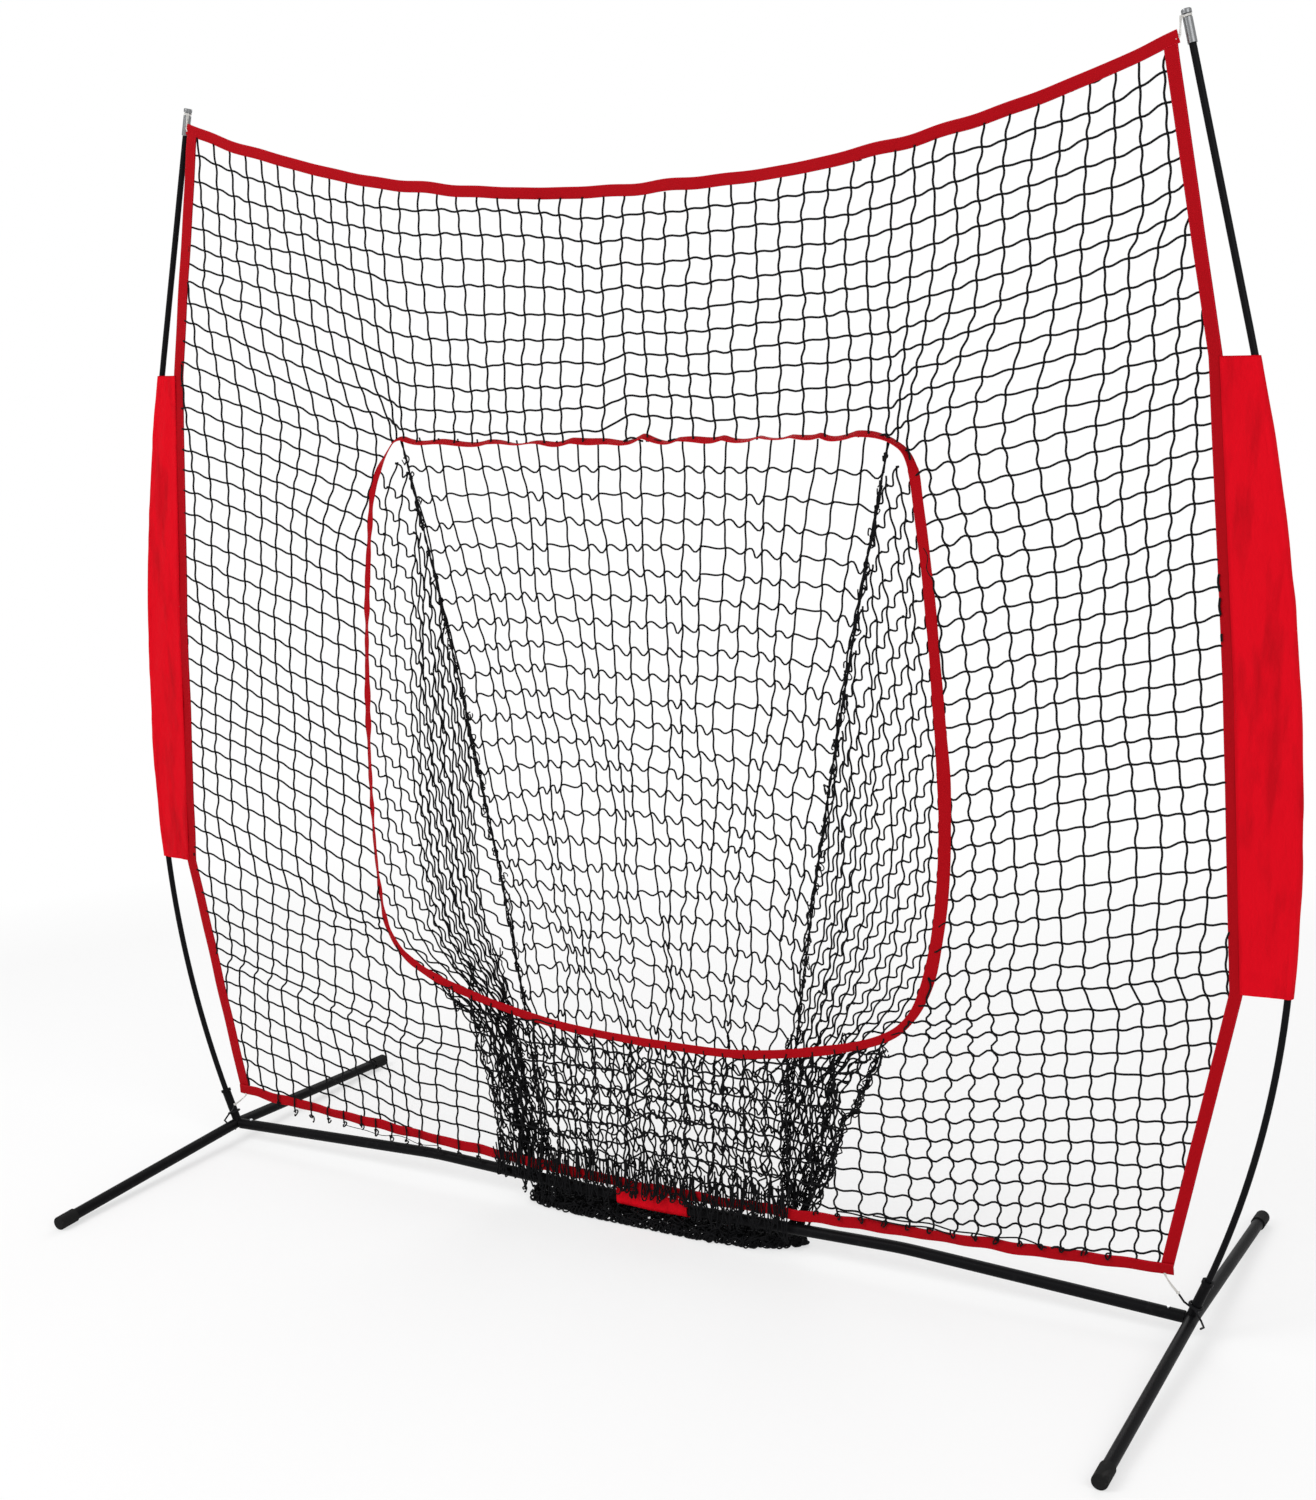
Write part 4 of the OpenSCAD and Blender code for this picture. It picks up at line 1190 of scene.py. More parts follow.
    def lay(self, skins: dict[str, Skin], path: Array, share: Array) -> None:
        """Adds a string to the panels that it passes."""
        for name, part in self.parts(path, share):
            skins.setdefault(name, Skin()).string(part, self.thread.radius, facing=BACK)

    def build(self) -> None:
        """Builds and dresses the panels."""
        draw = np.random.default_rng(12)
        knots, shares = self.knots(), self.shares()
        skins: dict[str, Skin] = {}
        columns, rows = knots.shape[:2]
        for line in knots:
            none = np.zeros(rows - 1)
            slack = self.lively(line[:-1, 0], line[:-1, 2] + self.half_cell)
            sway = -0.0030 * slack * draw.normal(1, 0.25, rows - 1)
            path = self.thread.lie(line, none, none, sway)
            row = np.arange(len(path)) / self.thread.steps
            self.lay(skins, path, np.interp(row, np.arange(rows), shares))
        for j in range(rows):
            line = knots[:, j] + BACK * CROSSING
            slack = self.lively(line[:-1, 0] + self.half_cell, line[:-1, 2])
            sag = 0.0011 * slack * draw.uniform(0.2, 1.8, columns - 1)
            rise = -np.sign(line[:-1, 0] - 0.35)
            hump = 0.0028 * rise * slack * draw.normal(1, 0.25, columns - 1)
            path = self.thread.lie(line, sag, hump, np.zeros(columns - 1))
            self.lay(skins, path, np.full(len(path), shares[j]))
        self.tie(skins, knots, draw)
        self.hem(skins, knots[:, 1, 0], draw)
        for name, skin in skins.items():
            skin.piece(name.replace("net_", "mesh_"), TWINE, "net_string", name)

    def tie(self, skins: dict[str, Skin], knots: Array, draw: np.random.Generator) -> None:
        """Adds the knots where the strings cross.

        Args:
            skins: the panels' skins.
            knots: the places of the knots.
            draw: the source of unevenness.
        """
        gone = self.hidden(knots[..., 0], knots[..., 2])
        for j, share in enumerate(self.shares()):
            for spot in knots[~gone[:, j], j]:
                skin = skins[self.panel(spot[0], spot[2], share)]
                size = np.array([self.knot]) * draw.uniform(0.85, 1.2, (1, 3))
                skin.knots((spot + BACK * CROSSING / 2)[None], size)

    def hem(self, skins: dict[str, Skin], columns: Array, draw: np.random.Generator) -> None:
        """Adds the strings' ends at the lower webbing, which hang over it on the left.

        Args:
            skins: the panels' skins.
            columns: the columns' places at the net's foot.
            draw: the source of unevenness.
        """
        front = HANG.plane_y - self.tail_out
        for x in columns:
            if abs(x) > self.tails_to or self.tail_gap[0] < x < self.tail_gap[1]:
                continue
            low = float(HANG.height(x, 0.0))
            skin = skins[self.panel(x, low + 0.02, 0.0)]
            end = self.curl_rise
            if x < 0:
                end = -float(draw.uniform(*self.tail_lengths))
                f = np.linspace(0, 1, 9)
                bow = draw.normal(0, 0.003) * np.sin(math.pi * f)
                down = low + mix(self.tail_top, end, f)
                skin.string(np.stack([x + bow, 0 * f + front, down], 1), 0.0017, facing=BACK)
            tall = draw.uniform(0.004, 0.008)
            skin.string(curl(np.array([x, front, low + end]), 0.004, tall, draw), 0.0016)
        for loose in self.loose_ends:
            x = np.linspace(loose.start, loose.stop, 25)
            rise = np.linspace(loose.first_rise, loose.last_rise, 25)
            z = HANG.height(x, 0.0) + (rise + Drift(14, 0.0025, 0.08).along(x))
            side = Side.RIGHT if loose.start > 0 else Side.LEFT
            path = np.stack([x, 0 * x + front, z], 1)
            skins["net_bottom_" + side.word].string(path, loose.radius)


@dataclass
class SlackNet:
    """What the pouch's panels share: drooping cells, knots and bunched seams."""

    cell: float = 0.046
    thread: Thread = Thread(8, 0.0018)
    knot: tuple[float, float, float] = (0.0029, 0.0023, 0.0030)

    def slack(self, width: Array) -> Array:
        """How far a string as long as a cell hangs down over a narrower span."""
        width = np.clip(np.abs(width), 0.006, self.cell)
        return width * np.sqrt(0.375 * (self.cell / width - 1) + 0.004)

    def weave(self, skin: Skin, knots: Array, sway: float, lively: float) -> None:
        """Lays the strings of a slack sheet of mesh.

        Args:
            skin: the skin to add to.
            knots: knots, columns first.
            sway: how far the upright strings bow, at the sheet's lower end.
            lively: how uneven the hanging parts are.
        """
        n, m = knots.shape[:2]
        draw = np.random.default_rng(n)
        for line in knots:
            low = 1 - POUCH.share(line[:-1, 2])
            bow = sway * (0.35 + low) * draw.choice([-1, 1], m - 1) * draw.uniform(0.3, 1, m - 1)
            path = self.thread.lie(line, np.zeros(m - 1), np.zeros(m - 1), bow)
            skin.string(path, self.thread.radius, facing=BACK)
        for j in range(1, m):
            line = knots[:, j] + BACK * CROSSING
            slack = self.slack(np.diff(line[:, 0]))
            sag = slack * draw.uniform(0.55 - lively, 0.65 + lively, n - 1)
            hump = slack * draw.uniform(0.45 - lively, 0.55 + lively, n - 1)
            path = self.thread.lie(line, sag, hump, slack * draw.normal(0, 0.12, n - 1))
            skin.string(path, self.thread.radius, facing=BACK)
        spots = knots[:, 1:].reshape(-1, 3) + BACK * CROSSING / 2
        skin.knots(spots, np.array(self.knot) * draw.uniform(0.85, 1.25, spots.shape))

    def seam(self, skin: Skin, path: Array, seed: int, loops: int) -> None:
        """Adds a bunched seam: twisted strings, knots and small loose loops.

        Args:
            skin: the skin to add to.
            path: the seam's line, from the top down.
            seed: the seed of its loops.
            loops: loops for each knot.
        """
        draw = np.random.default_rng(seed)
        long = distance_along(path)[-1]
        spots = np.arange(0.0, long, 0.005)
        line = points_at(path, spots)
        for k in range(2):
            turn = spots * (math.tau / self.cell) + k * math.pi
            wide = 0.0010 + 0.0012 * spots / long + 0.0005 * np.sin(spots * 61 + 2 * k)
            twisted = line.copy()
            twisted[:, 0] += wide * np.cos(turn)
            twisted[:, 1] += wide * np.sin(turn)
            skin.string(twisted, 0.0016, facing=BACK)
        at = np.arange(0.03, long, self.cell)
        centre = points_at(path, at)
        centre = centre + draw.normal(0, 0.0012, centre.shape)
        radii = draw.uniform(0.0026, 0.0044, centre.shape) * np.array([1, 0.8, 1.5])
        skin.knots(centre, radii)
        for spot, low in zip(np.repeat(centre, loops, axis=0), np.repeat(at / long, loops)):
            size = draw.uniform(0.002, 0.004) * (1 + 1.2 * low)
            shifted = spot + draw.normal(0, 0.004, 3) * [0.6, 0.3, 2.0]
            skin.string(curl(shifted, size, size * draw.uniform(1.3, 2.6), draw), 0.0014, 4)


@dataclass
class PouchBack(SlackNet):
    """The back of the pouch, which hangs in rows of drooping cells."""

    columns: int = 23
    foot_z: float = 0.075
    sway: float = 0.0030
    lively: float = 0.12

    def knots(self) -> Array:
        """Knots, columns first and rows from the top down."""
        draw = np.random.default_rng(21)
        rows = int((POUCH.top_z - self.foot_z) / self.cell)
        across = 2 * np.arange(self.columns + 1) / self.columns - 1
        t, r = np.meshgrid(across, np.arange(rows + 1), indexing="ij")
        level = POUCH.top_z - 0.008 * (1 - t**2) - self.cell * r
        z = level - 0.034 * np.abs(t) ** 3 * np.minimum(1, r / 3)
        down = 1 - POUCH.share(z)
        loose = np.minimum(1, r / 2) * (0.6 + 1.6 * down)
        x = POUCH.back_half(z) * t + loose * Drift(22, 0.004, 0.35)(t, z)
        x = x + loose * draw.normal(0, 0.0012, x.shape)
        z = z + loose * (Drift(23, 0.003, 0.4)(x, z) + draw.normal(0, 0.0012, x.shape))
        y = POUCH.back_y(z) + loose * draw.normal(0, 0.0009, x.shape)
        return np.stack([x, y, z], -1)

    def build(self) -> None:
        """Builds and dresses the back."""
        skin = Skin()
        self.weave(skin, self.knots(), self.sway, self.lively)
        skin.piece("slack_back", TWINE, "net_string", "pouch_back")


@dataclass(frozen=True)
class Bunch:
    """A band of crumpled strings that runs from the opening's edge down to the heap."""

    strands: int
    spread: float
    points: tuple[tuple[float, float], ...]


@dataclass
class PouchFront(SlackNet):
    """The front of the pouch, from the tape's lower edge down into the heap."""

    columns: int = 27
    rows: int = 9
    tape_half: float = 0.50
    foot_z: float = 0.034
    sway: float = 0.0055
    lively: float = 0.3
    bunches: tuple[Bunch, ...] = (
        Bunch(3, 0.006, ((-0.500, 0.435), (-0.438, 0.385), (-0.404, 0.350), (-0.396, 0.270),
                         (-0.380, 0.167), (-0.360, 0.100), (-0.318, 0.050))),
        Bunch(3, 0.010, ((-0.415, 0.480), (-0.402, 0.380), (-0.370, 0.300), (-0.342, 0.210),
                         (-0.318, 0.120), (-0.296, 0.050))),
        Bunch(3, 0.008, ((-0.345, 0.520), (-0.328, 0.380), (-0.306, 0.270), (-0.284, 0.165),
                         (-0.258, 0.100), (-0.242, 0.050))),
        Bunch(6, 0.007, ((0.478, 0.428), (0.446, 0.365), (0.420, 0.310), (0.394, 0.270),
                         (0.374, 0.200), (0.338, 0.140), (0.308, 0.085), (0.284, 0.050))),
        Bunch(4, 0.008, ((0.400, 0.450), (0.372, 0.340), (0.350, 0.240), (0.325, 0.150),
                         (0.290, 0.060))),
        Bunch(4, 0.005, ((0.290, 0.420), (0.276, 0.280), (0.268, 0.150), (0.256, 0.050))),
    )

    def knots(self) -> Array:
        """Knots, columns first and rows from the tape down."""
        draw = np.random.default_rng(25)
        across = 2 * np.arange(self.columns + 1) / self.columns - 1
        t, r = np.meshgrid(across, np.arange(self.rows + 1) / self.rows, indexing="ij")
        z = mix(OPENING.floor(t * self.tape_half), self.foot_z, r)
        loose = np.minimum(1, 4 * r)
        x = mix(POUCH.front_half(z), self.tape_half, np.clip(1 - 8 * r, 0, 1)) * t
        x = x + loose * draw.normal(0, 0.004, t.shape)
        z = z + loose * draw.normal(0, 0.004, t.shape)
        y = POUCH.front_at(z) + loose * draw.normal(0, 0.0015, t.shape)
        return np.stack([x, y, z], -1)

    def crumple(self, skin: Skin, bunch: Bunch, number: int, draw: np.random.Generator) -> None:
        """Adds one bunch: wandering strings, loose curls and knots.

        Args:
            skin: the skin to add to.
            bunch: the bunch.
            number: its place in the list, which its drifts start from.
            draw: the source of unevenness.
        """
        x, z = curve_through(np.array(bunch.points), 14).T
        run = distance_along(np.stack([x, z], 1))
        for k in range(bunch.strands):
            seed = 20 * number + k
            lie = draw.uniform(0.15, 0.9)
            rough = Drift(400 + seed, 0.0022, 0.022)
            aside = x + Drift(200 + seed, bunch.spread * 0.75, 0.075).along(run)
            up = z + Drift(600 + seed, 0.003, 0.05).along(run)
            back = mix(POUCH.front_at(z) + 0.003, POUCH.back_y(z), lie)
            path = [aside + rough.along(run), back + 0.5 * rough.along(run + 1), np.maximum(up, 0.03)]
            skin.string(np.stack(path, 1), 0.0015)
        count = int(16 * run[-1] / 0.4 * bunch.strands / 6)
        for spot in draw.uniform(0.0, run[-1], count):
            centre = np.array([np.interp(spot, run, x), 0.0, np.interp(spot, run, z)])
            centre[1] = mix(POUCH.front_at(centre[2]), POUCH.back_y(centre[2]), 0.5)
            centre = centre + draw.normal(0, bunch.spread, 3) * [0.8, 0.3, 1.0]
            centre[2] = max(centre[2], 0.045)
            size = draw.uniform(0.003, 0.007)
            skin.string(curl(centre, size, size * draw.uniform(1.2, 2.4), draw), 0.0014)
            skin.knots(centre[None], draw.uniform(0.0022, 0.0034, (1, 3)))

    def build(self) -> None:
        """Builds and dresses the front."""
        draw = np.random.default_rng(65)
        skin = Skin()
        self.weave(skin, self.knots(), self.sway, self.lively)
        for number, bunch in enumerate(self.bunches):
            self.crumple(skin, bunch, number, draw)
        skin.piece("slack_front", TWINE, "net_string", "pouch_front")


@dataclass
class PouchSide(SlackNet):
    """One side of the pouch, whose slack cells hang as steep hooked loops."""

    side: Side = Side.LEFT
    side_cell: float = 0.044
    rows: int = 48
    first_z: float = 1.93
    tight: float = 0.80
    top_z: float = 1.47
    foot_z: float = 0.045
    spread_from: float = 0.65
    thin_below: float = 0.36
    thinned: float = 0.40
    hooks_from: float = 0.06
    hooks_to: float = 1.485
    left_columns: tuple[float, ...] = (
        0.031, 0.066, 0.099, 0.117, 0.131, 0.145, 0.159, 0.173, 0.187, 0.201, 0.215, 0.229,
    )
    right_columns: tuple[float, ...] = (
        0.027, 0.054, 0.081, 0.107, 0.132, 0.155, 0.176, 0.195, 0.212, 0.228,
    )

    @property
    def offsets(self) -> tuple[float, ...]:
        """How far in each upright string lies, with the opening's edge first."""
        return (0.0, *getattr(self, self.side.word + "_columns"))

    def upright(self, off: float, z: Array) -> Array:
        """Line of an upright string.

        Args:
            off: its distance in from the opening's edge, where the pouch is widest.
            z: heights.

        Returns:
            Its points, as if on the right.
        """
        outer, inner = POUCH.side_half(z, self.side), POUCH.back_half(z)
        level = np.array(self.spread_from)
        widest = float(POUCH.side_half(level, self.side) - POUCH.back_half(level))
        low = np.clip((self.spread_from - z) / 0.18, 0, 1)
        x = mix(outer - off, mix(outer, inner, min(off / widest, 1.0)), low)
        share = np.clip((outer - x) / np.maximum(outer - inner, 1e-3), 0, 1)
        front = POUCH.front_at(z) + 0.0033 * np.clip((0.50 - z) / 0.04, 0, 1)
        return np.stack([x, mix(front, POUCH.back_y(z), share**0.8), z], -1)

    def shown(self, off: float, z: Array) -> Array:
        """Where an upright string lies outside the back's seam."""
        width = POUCH.side_half(z, self.side) - POUCH.back_half(z)
        return (z < self.top_z) & ((off < width - 0.004) | (z < self.spread_from - 0.1))

    def knots(self, draw: np.random.Generator) -> list[Array]:
        """Knots of each upright string, each column lower than the one outside it."""
        columns: list[Array] = []
        drop = 0.0
        for k, off in enumerate(self.offsets):
            if k:
                apart = off - self.offsets[k - 1]
                drop += self.tight * math.sqrt(max(self.side_cell**2 - apart**2, 0.0))
            levels = self.first_z - drop - self.side_cell * np.arange(self.rows)
            columns.append(self.upright(off, levels + draw.normal(0, 0.0022, self.rows)))
        return columns

    def uprights(self, skin: Skin, knots: list[Array]) -> None:
        """Adds the upright strings, which wave from knot to knot."""
        for k, off in enumerate(self.offsets[1:], 1):
            z = np.arange(self.top_z, self.foot_z, -0.0055)
            z = z[self.shown(off, z)]
            path = self.upright(off, z)
            wave = np.sin((z - knots[k][0, 2]) * math.tau / self.side_cell)
            path[:, 0] += (0.0025 - 0.0010 * POUCH.share(z)) * wave
            path[:, 0] += Drift(40 + k, 0.0022, 0.3).along(z) + Drift(60 + k, 0.0016, 0.07).along(z)
            skin.string(path * self.side.mirror, self.thread.radius, facing=BACK)

    def hook(
        self, skin: Skin, knots: list[Array], k: int, r: int, draw: np.random.Generator
    ) -> None:
        """Adds the part of string from one knot down to the next column's knot.

        Args:
            skin: the skin to add to.
            knots: the knots of each column.
            k: the outer column.
            r: the row.
            draw: the source of unevenness.
        """
        high = knots[k][r]
        if not self.hooks_from < high[2] < self.hooks_to:
            return
        if k and not self.shown(self.offsets[k], high[2]):
            return
        if k + 1 < len(knots) and self.shown(self.offsets[k + 1], knots[k + 1][r][2]):
            low = knots[k + 1][r]
        else:
            z = high[2] - 0.03
            low = np.array([float(POUCH.back_half(z)), float(POUCH.back_y(z)), z])
        if low[2] < 0.05 or (high[2] < self.thin_below and draw.uniform() < self.thinned):
            return
        wide = abs(high[0] - low[0])
        dip = 0.0045 + 0.35 * max(0.0, self.side_cell - np.hypot(wide, high[2] - low[2]))
        f = np.linspace(0, 1, 11)
        path = mix(low, high, f[:, None])
        lie = draw.uniform(0.6, 1.3)
        path[:, 2] -= lie * dip * (0.55 * np.sin(math.tau * f) + np.sin(math.pi * f))
        path[:, 0] += (0.16 * wide + 0.0010) * np.sin(math.tau * f)
        path[:, 1] += 0.0016
        skin.string(path * self.side.mirror, self.thread.radius)
        size = np.array([self.knot]) * draw.uniform(0.85, 1.25, (1, 3))
        skin.knots(high[None] * self.side.mirror, size)

    def build(self) -> None:
        """Builds and dresses the panel."""
        draw = np.random.default_rng(31 + self.side.value)
        skin = Skin()
        knots = self.knots(draw)
        self.uprights(skin, knots)
        for k in range(len(self.offsets)):
            for r in range(self.rows):
                self.hook(skin, knots, k, r, draw)
        z = np.arange(1.505, 0.05, -0.02)
        back = np.stack([POUCH.back_half(z), POUCH.back_y(z), z], 1)
        self.seam(skin, back * self.side.mirror, 51 + self.side.value, 2)
        word = self.side.word
        skin.piece("slack_side_" + word, TWINE, "net_string", "pouch_" + word)


@dataclass
class Heap:
    """The slack mesh that lies heaped on the ground, and its loops over bar and webbing."""

    half: float = 0.304
    top: float = 0.029
    columns: int = 34
    folds: int = 14
    curls: int = 420
    radius: float = 0.0017
    lift: float = 0.0004
    fringe: float = 0.0085
    front_limit: float = -0.0215
    veil_y: float = -0.0185
    layers: tuple[tuple[float, float], ...] = ((-0.356, 0.0150), (-0.350, 0.0210), (-0.34, 0.030))
    strap_half: float = 0.090
    low_ends: tuple[float, float] = (0.018, 0.060)
    low_over_strap: tuple[float, float] = (0.058, 0.072)
    low_in_first: tuple[float, float] = (0.060, 0.085)
    low_past_heap: float = 0.055
    stops: tuple[float, ...] = (
        -0.304, -0.285, -0.237, -0.113, 0.0, 0.108, 0.207, 0.258, 0.285, 0.304,
    )
    front: tuple[float, ...] = (
        0.030, 0.008, -0.008, -0.0165, -0.0165, -0.015, -0.004, 0.018, 0.036, 0.050,
    )
    rear: tuple[float, ...] = (
        0.040, 0.060, 0.076, 0.083, 0.084, 0.083, 0.080, 0.074, 0.066, 0.056,
    )

    def reach(self, x: Array) -> tuple[Array, Array]:
        """Front and rear edge of the heap at a place along it."""
        return np.interp(x, self.stops, self.front), np.interp(x, self.stops, self.rear)

    def level(self, x: float, y: float) -> float:
        """Height of the heap's upper side at a place."""
        front, rear = self.reach(x)
        out = max(0.0, 1 - (abs(x) / (self.half + 0.01)) ** 4)
        across = min(1.0, max(0.0, (y - front) / 0.014), max(0.0, (rear - y) / 0.020))
        return 0.007 + (self.top - 0.008) * out**0.5 * across**0.6

    def lay(self, skin: Skin, path: Array) -> None:
        """Adds a string, kept on the ground and within the heap's outline."""
        front, rear = self.reach(path[:, 0])
        x = np.clip(path[:, 0], -self.half, self.half)
        y = np.clip(path[:, 1], front, rear)
        z = np.clip(path[:, 2], self.radius + self.lift, self.top)
        skin.string(np.stack([x, y, z], 1), self.radius)

    def knots(self, draw: np.random.Generator) -> Array:
        """Knots of the folded mesh, columns first."""
        place = np.empty((self.columns + 1, self.folds + 1, 3))
        for i, j in np.ndindex(place.shape[:2]):
            x = mix(-self.half + 0.006, self.half - 0.006, i / self.columns)
            x = float(np.clip(x + draw.normal(0, 0.007), -self.half, self.half))
            swing = 0.5 + 0.46 * math.cos(math.pi * j) + draw.normal(0, 0.22)
            y = mix(*self.reach(x), float(np.clip(swing, 0, 1)))
            z = 0.003 + (self.level(x, y) - 0.005) * float(draw.uniform(0, 1)) ** 0.8
            place[i, j] = (x, y, z)
        return place

    def pile(self, skin: Skin, draw: np.random.Generator) -> None:
        """Adds the folded mesh itself and loose curls all over it."""
        knots = self.knots(draw)
        for line in knots:
            self.lay(skin, curve_through(line, 6))
        for j in range(self.folds + 1):
            path = curve_through(knots[:, j], 8)
            f = np.tile(np.arange(8) / 8, self.columns)
            for axis, size in ((1, 0.012), (2, 0.008)):
                bow = np.repeat(draw.normal(0, size, self.columns), 8)
                path[:-1, axis] += bow * np.sin(math.pi * f)
            self.lay(skin, path)
        spots = knots.reshape(-1, 3)
        skin.knots(spots, draw.uniform(0.0020, 0.0034, spots.shape))
        for _ in range(self.curls):
            x = float(draw.uniform(-self.half + 0.012, self.half - 0.012))
            y = mix(*self.reach(x), float(draw.uniform(0, 1)) ** 1.6)
            z = self.level(x, y) * float(draw.uniform(0.3, 1.0))
            turn = np.linspace(0, math.tau * draw.uniform(0.6, 1.0), 12) + draw.uniform(0, 6)
            size, flat = draw.uniform(0.006, 0.014), draw.uniform(0.3, 1.0)
            rise = 0.006 * np.sin(turn + draw.uniform(0, 6))
            loop = [x + size * np.cos(turn), y + size * flat * np.sin(turn), z + rise]
            self.lay(skin, np.stack(loop, 1))

    def skirt(self, skin: Skin, draw: np.random.Generator) -> None:
        """Adds the scalloped loops that stand out along the heap's front edge."""
        f = np.linspace(-1, 1, 13)
        for x in np.arange(-self.half + 0.006, self.half - 0.010, self.fringe):
            x = float(x + draw.normal(0, 0.003))
            inner = self.reach(x)[0] + 0.012
            out = float(draw.uniform(0.003, 0.012)) + 0.012
            wide = draw.uniform(0.006, 0.012)
            lift = draw.uniform(0.004, 0.016)
            path = np.stack([
                x + wide * np.sin(f * 2.2),
                np.maximum(inner - out * np.cos(f * 1.5) ** 0.5, self.front_limit),
                np.maximum(0.0022 + lift * np.abs(f) ** 1.6, self.radius + self.lift),
            ], 1)
            skin.string(path, self.radius)

    def low_end(self, x: float, layer: int, draw: np.random.Generator) -> float:
        """How far down a loop of the veil hangs; over the strap it stays short."""
        span = self.low_over_strap if abs(x) < self.strap_half else self.low_ends
        low = draw.uniform(*span)
        if layer == 0:
            low = draw.uniform(*self.low_in_first)
        return max(low, self.low_past_heap) if abs(x) > 0.30 else low

    def veil(self, skin: Skin, draw: np.random.Generator) -> None:
        """Adds the loops that hang over the lower webbing, the crossbar and its strap."""
        f = np.linspace(0, 1, 15)
        turn = math.pi * f
        for layer, (start, space) in enumerate(self.layers):
            for x in np.arange(start, 0.300, space):
                x = float(x + draw.normal(0, 0.003))
                low = self.low_end(x, layer, draw)
                high = draw.uniform(0.105, 0.150)
                wide = draw.uniform(0.004, 0.010)
                path = np.stack([
                    x + wide * (1 - 2 * f) + 0.004 * np.sin(turn * 3 + draw.uniform(0, 6)),
                    np.full(15, self.veil_y - 0.0010 * layer),
                    high - (high - low) * np.sin(turn) ** draw.uniform(0.5, 0.9),
                ], 1)
                skin.string(path, self.radius * 0.9)
                if draw.uniform() < 0.45:
                    spot = path[7] + [0, 0, draw.uniform(0.0, 0.012)]
                    skin.string(curl(spot, 0.004, 0.006, draw), self.radius * 0.9)

    def build(self) -> None:
        """Builds and dresses the heap."""
        draw = np.random.default_rng(72)
        skin = Skin()
        self.pile(skin, draw)
        self.skirt(skin, draw)
        self.veil(skin, draw)
        skin.piece("slack_heap", TWINE, "net_string", "pouch_heap")


# ---- tapes and cloth


@dataclass
class Bindings:
    """Red webbing on the net's four edges."""

    thick: float = 0.003
    top_width: float = 0.0205
    bottom_width: float = 0.0215
    left_width: float = 0.0240
    right_width: float = 0.0220
    stations: int = 361
    end_lap: float = 0.0014
    end_taper: float = 0.05

    def band(self, word: str, path: Array, flat: Array) -> None:
        """Lays the webbing of one edge along a path, with flat across it, and dresses it."""
        skin = Skin()
        skin.ribbon(path, flat, getattr(self, word + "_width"), self.thick)
        skin.piece("webbing_" + word, RED_TAPE, "webbing_red", "binding_" + word)

    def across(self, word: str, share: int) -> None:
        """Builds the webbing of the lower edge, share 0, or the upper edge, share 1."""
        end = float(HANG.half(HANG.low_z + HANG.rise * share)) + HANG.webbing / 2
        x = np.linspace(-end, end, self.stations)
        inner = np.minimum(1, (end - np.abs(x)) / self.end_taper)
        z = HANG.height(x, share) + inner * Drift(81 + share, 0.0009, 0.11).along(x)
        y = HANG.plane_y + inner * Drift(83 + share, 0.0006, 0.15).along(x)
        lean = 0.12 * Drift(85 + share, 1.0, 0.3).along(x)
        flat = np.stack([np.zeros_like(x), lean, np.ones_like(x)], 1)
        self.band(word, np.stack([x, y, z], 1), flat)

    def upright(self, side: Side) -> None:
        """Builds the webbing of one side edge, bent back where it passes behind the others."""
        z = np.linspace(HANG.low_z, HANG.low_z + HANG.rise, self.stations)
        near_end = bell(1 - np.abs(np.linspace(-1, 1, self.stations)), 0.016)
        y = HANG.plane_y + Drift(87, 0.0005, 0.2).along(z) + self.end_lap * near_end
        path = np.stack([HANG.half(z) * side.value, y, z], 1)
        self.band(side.word, path, np.tile(ACROSS, (self.stations, 1)))

    def build(self) -> None:
        """Builds and dresses the webbing."""
        self.across("bottom", 0)
        self.across("top", 1)
        for side in Side:
            self.upright(side)


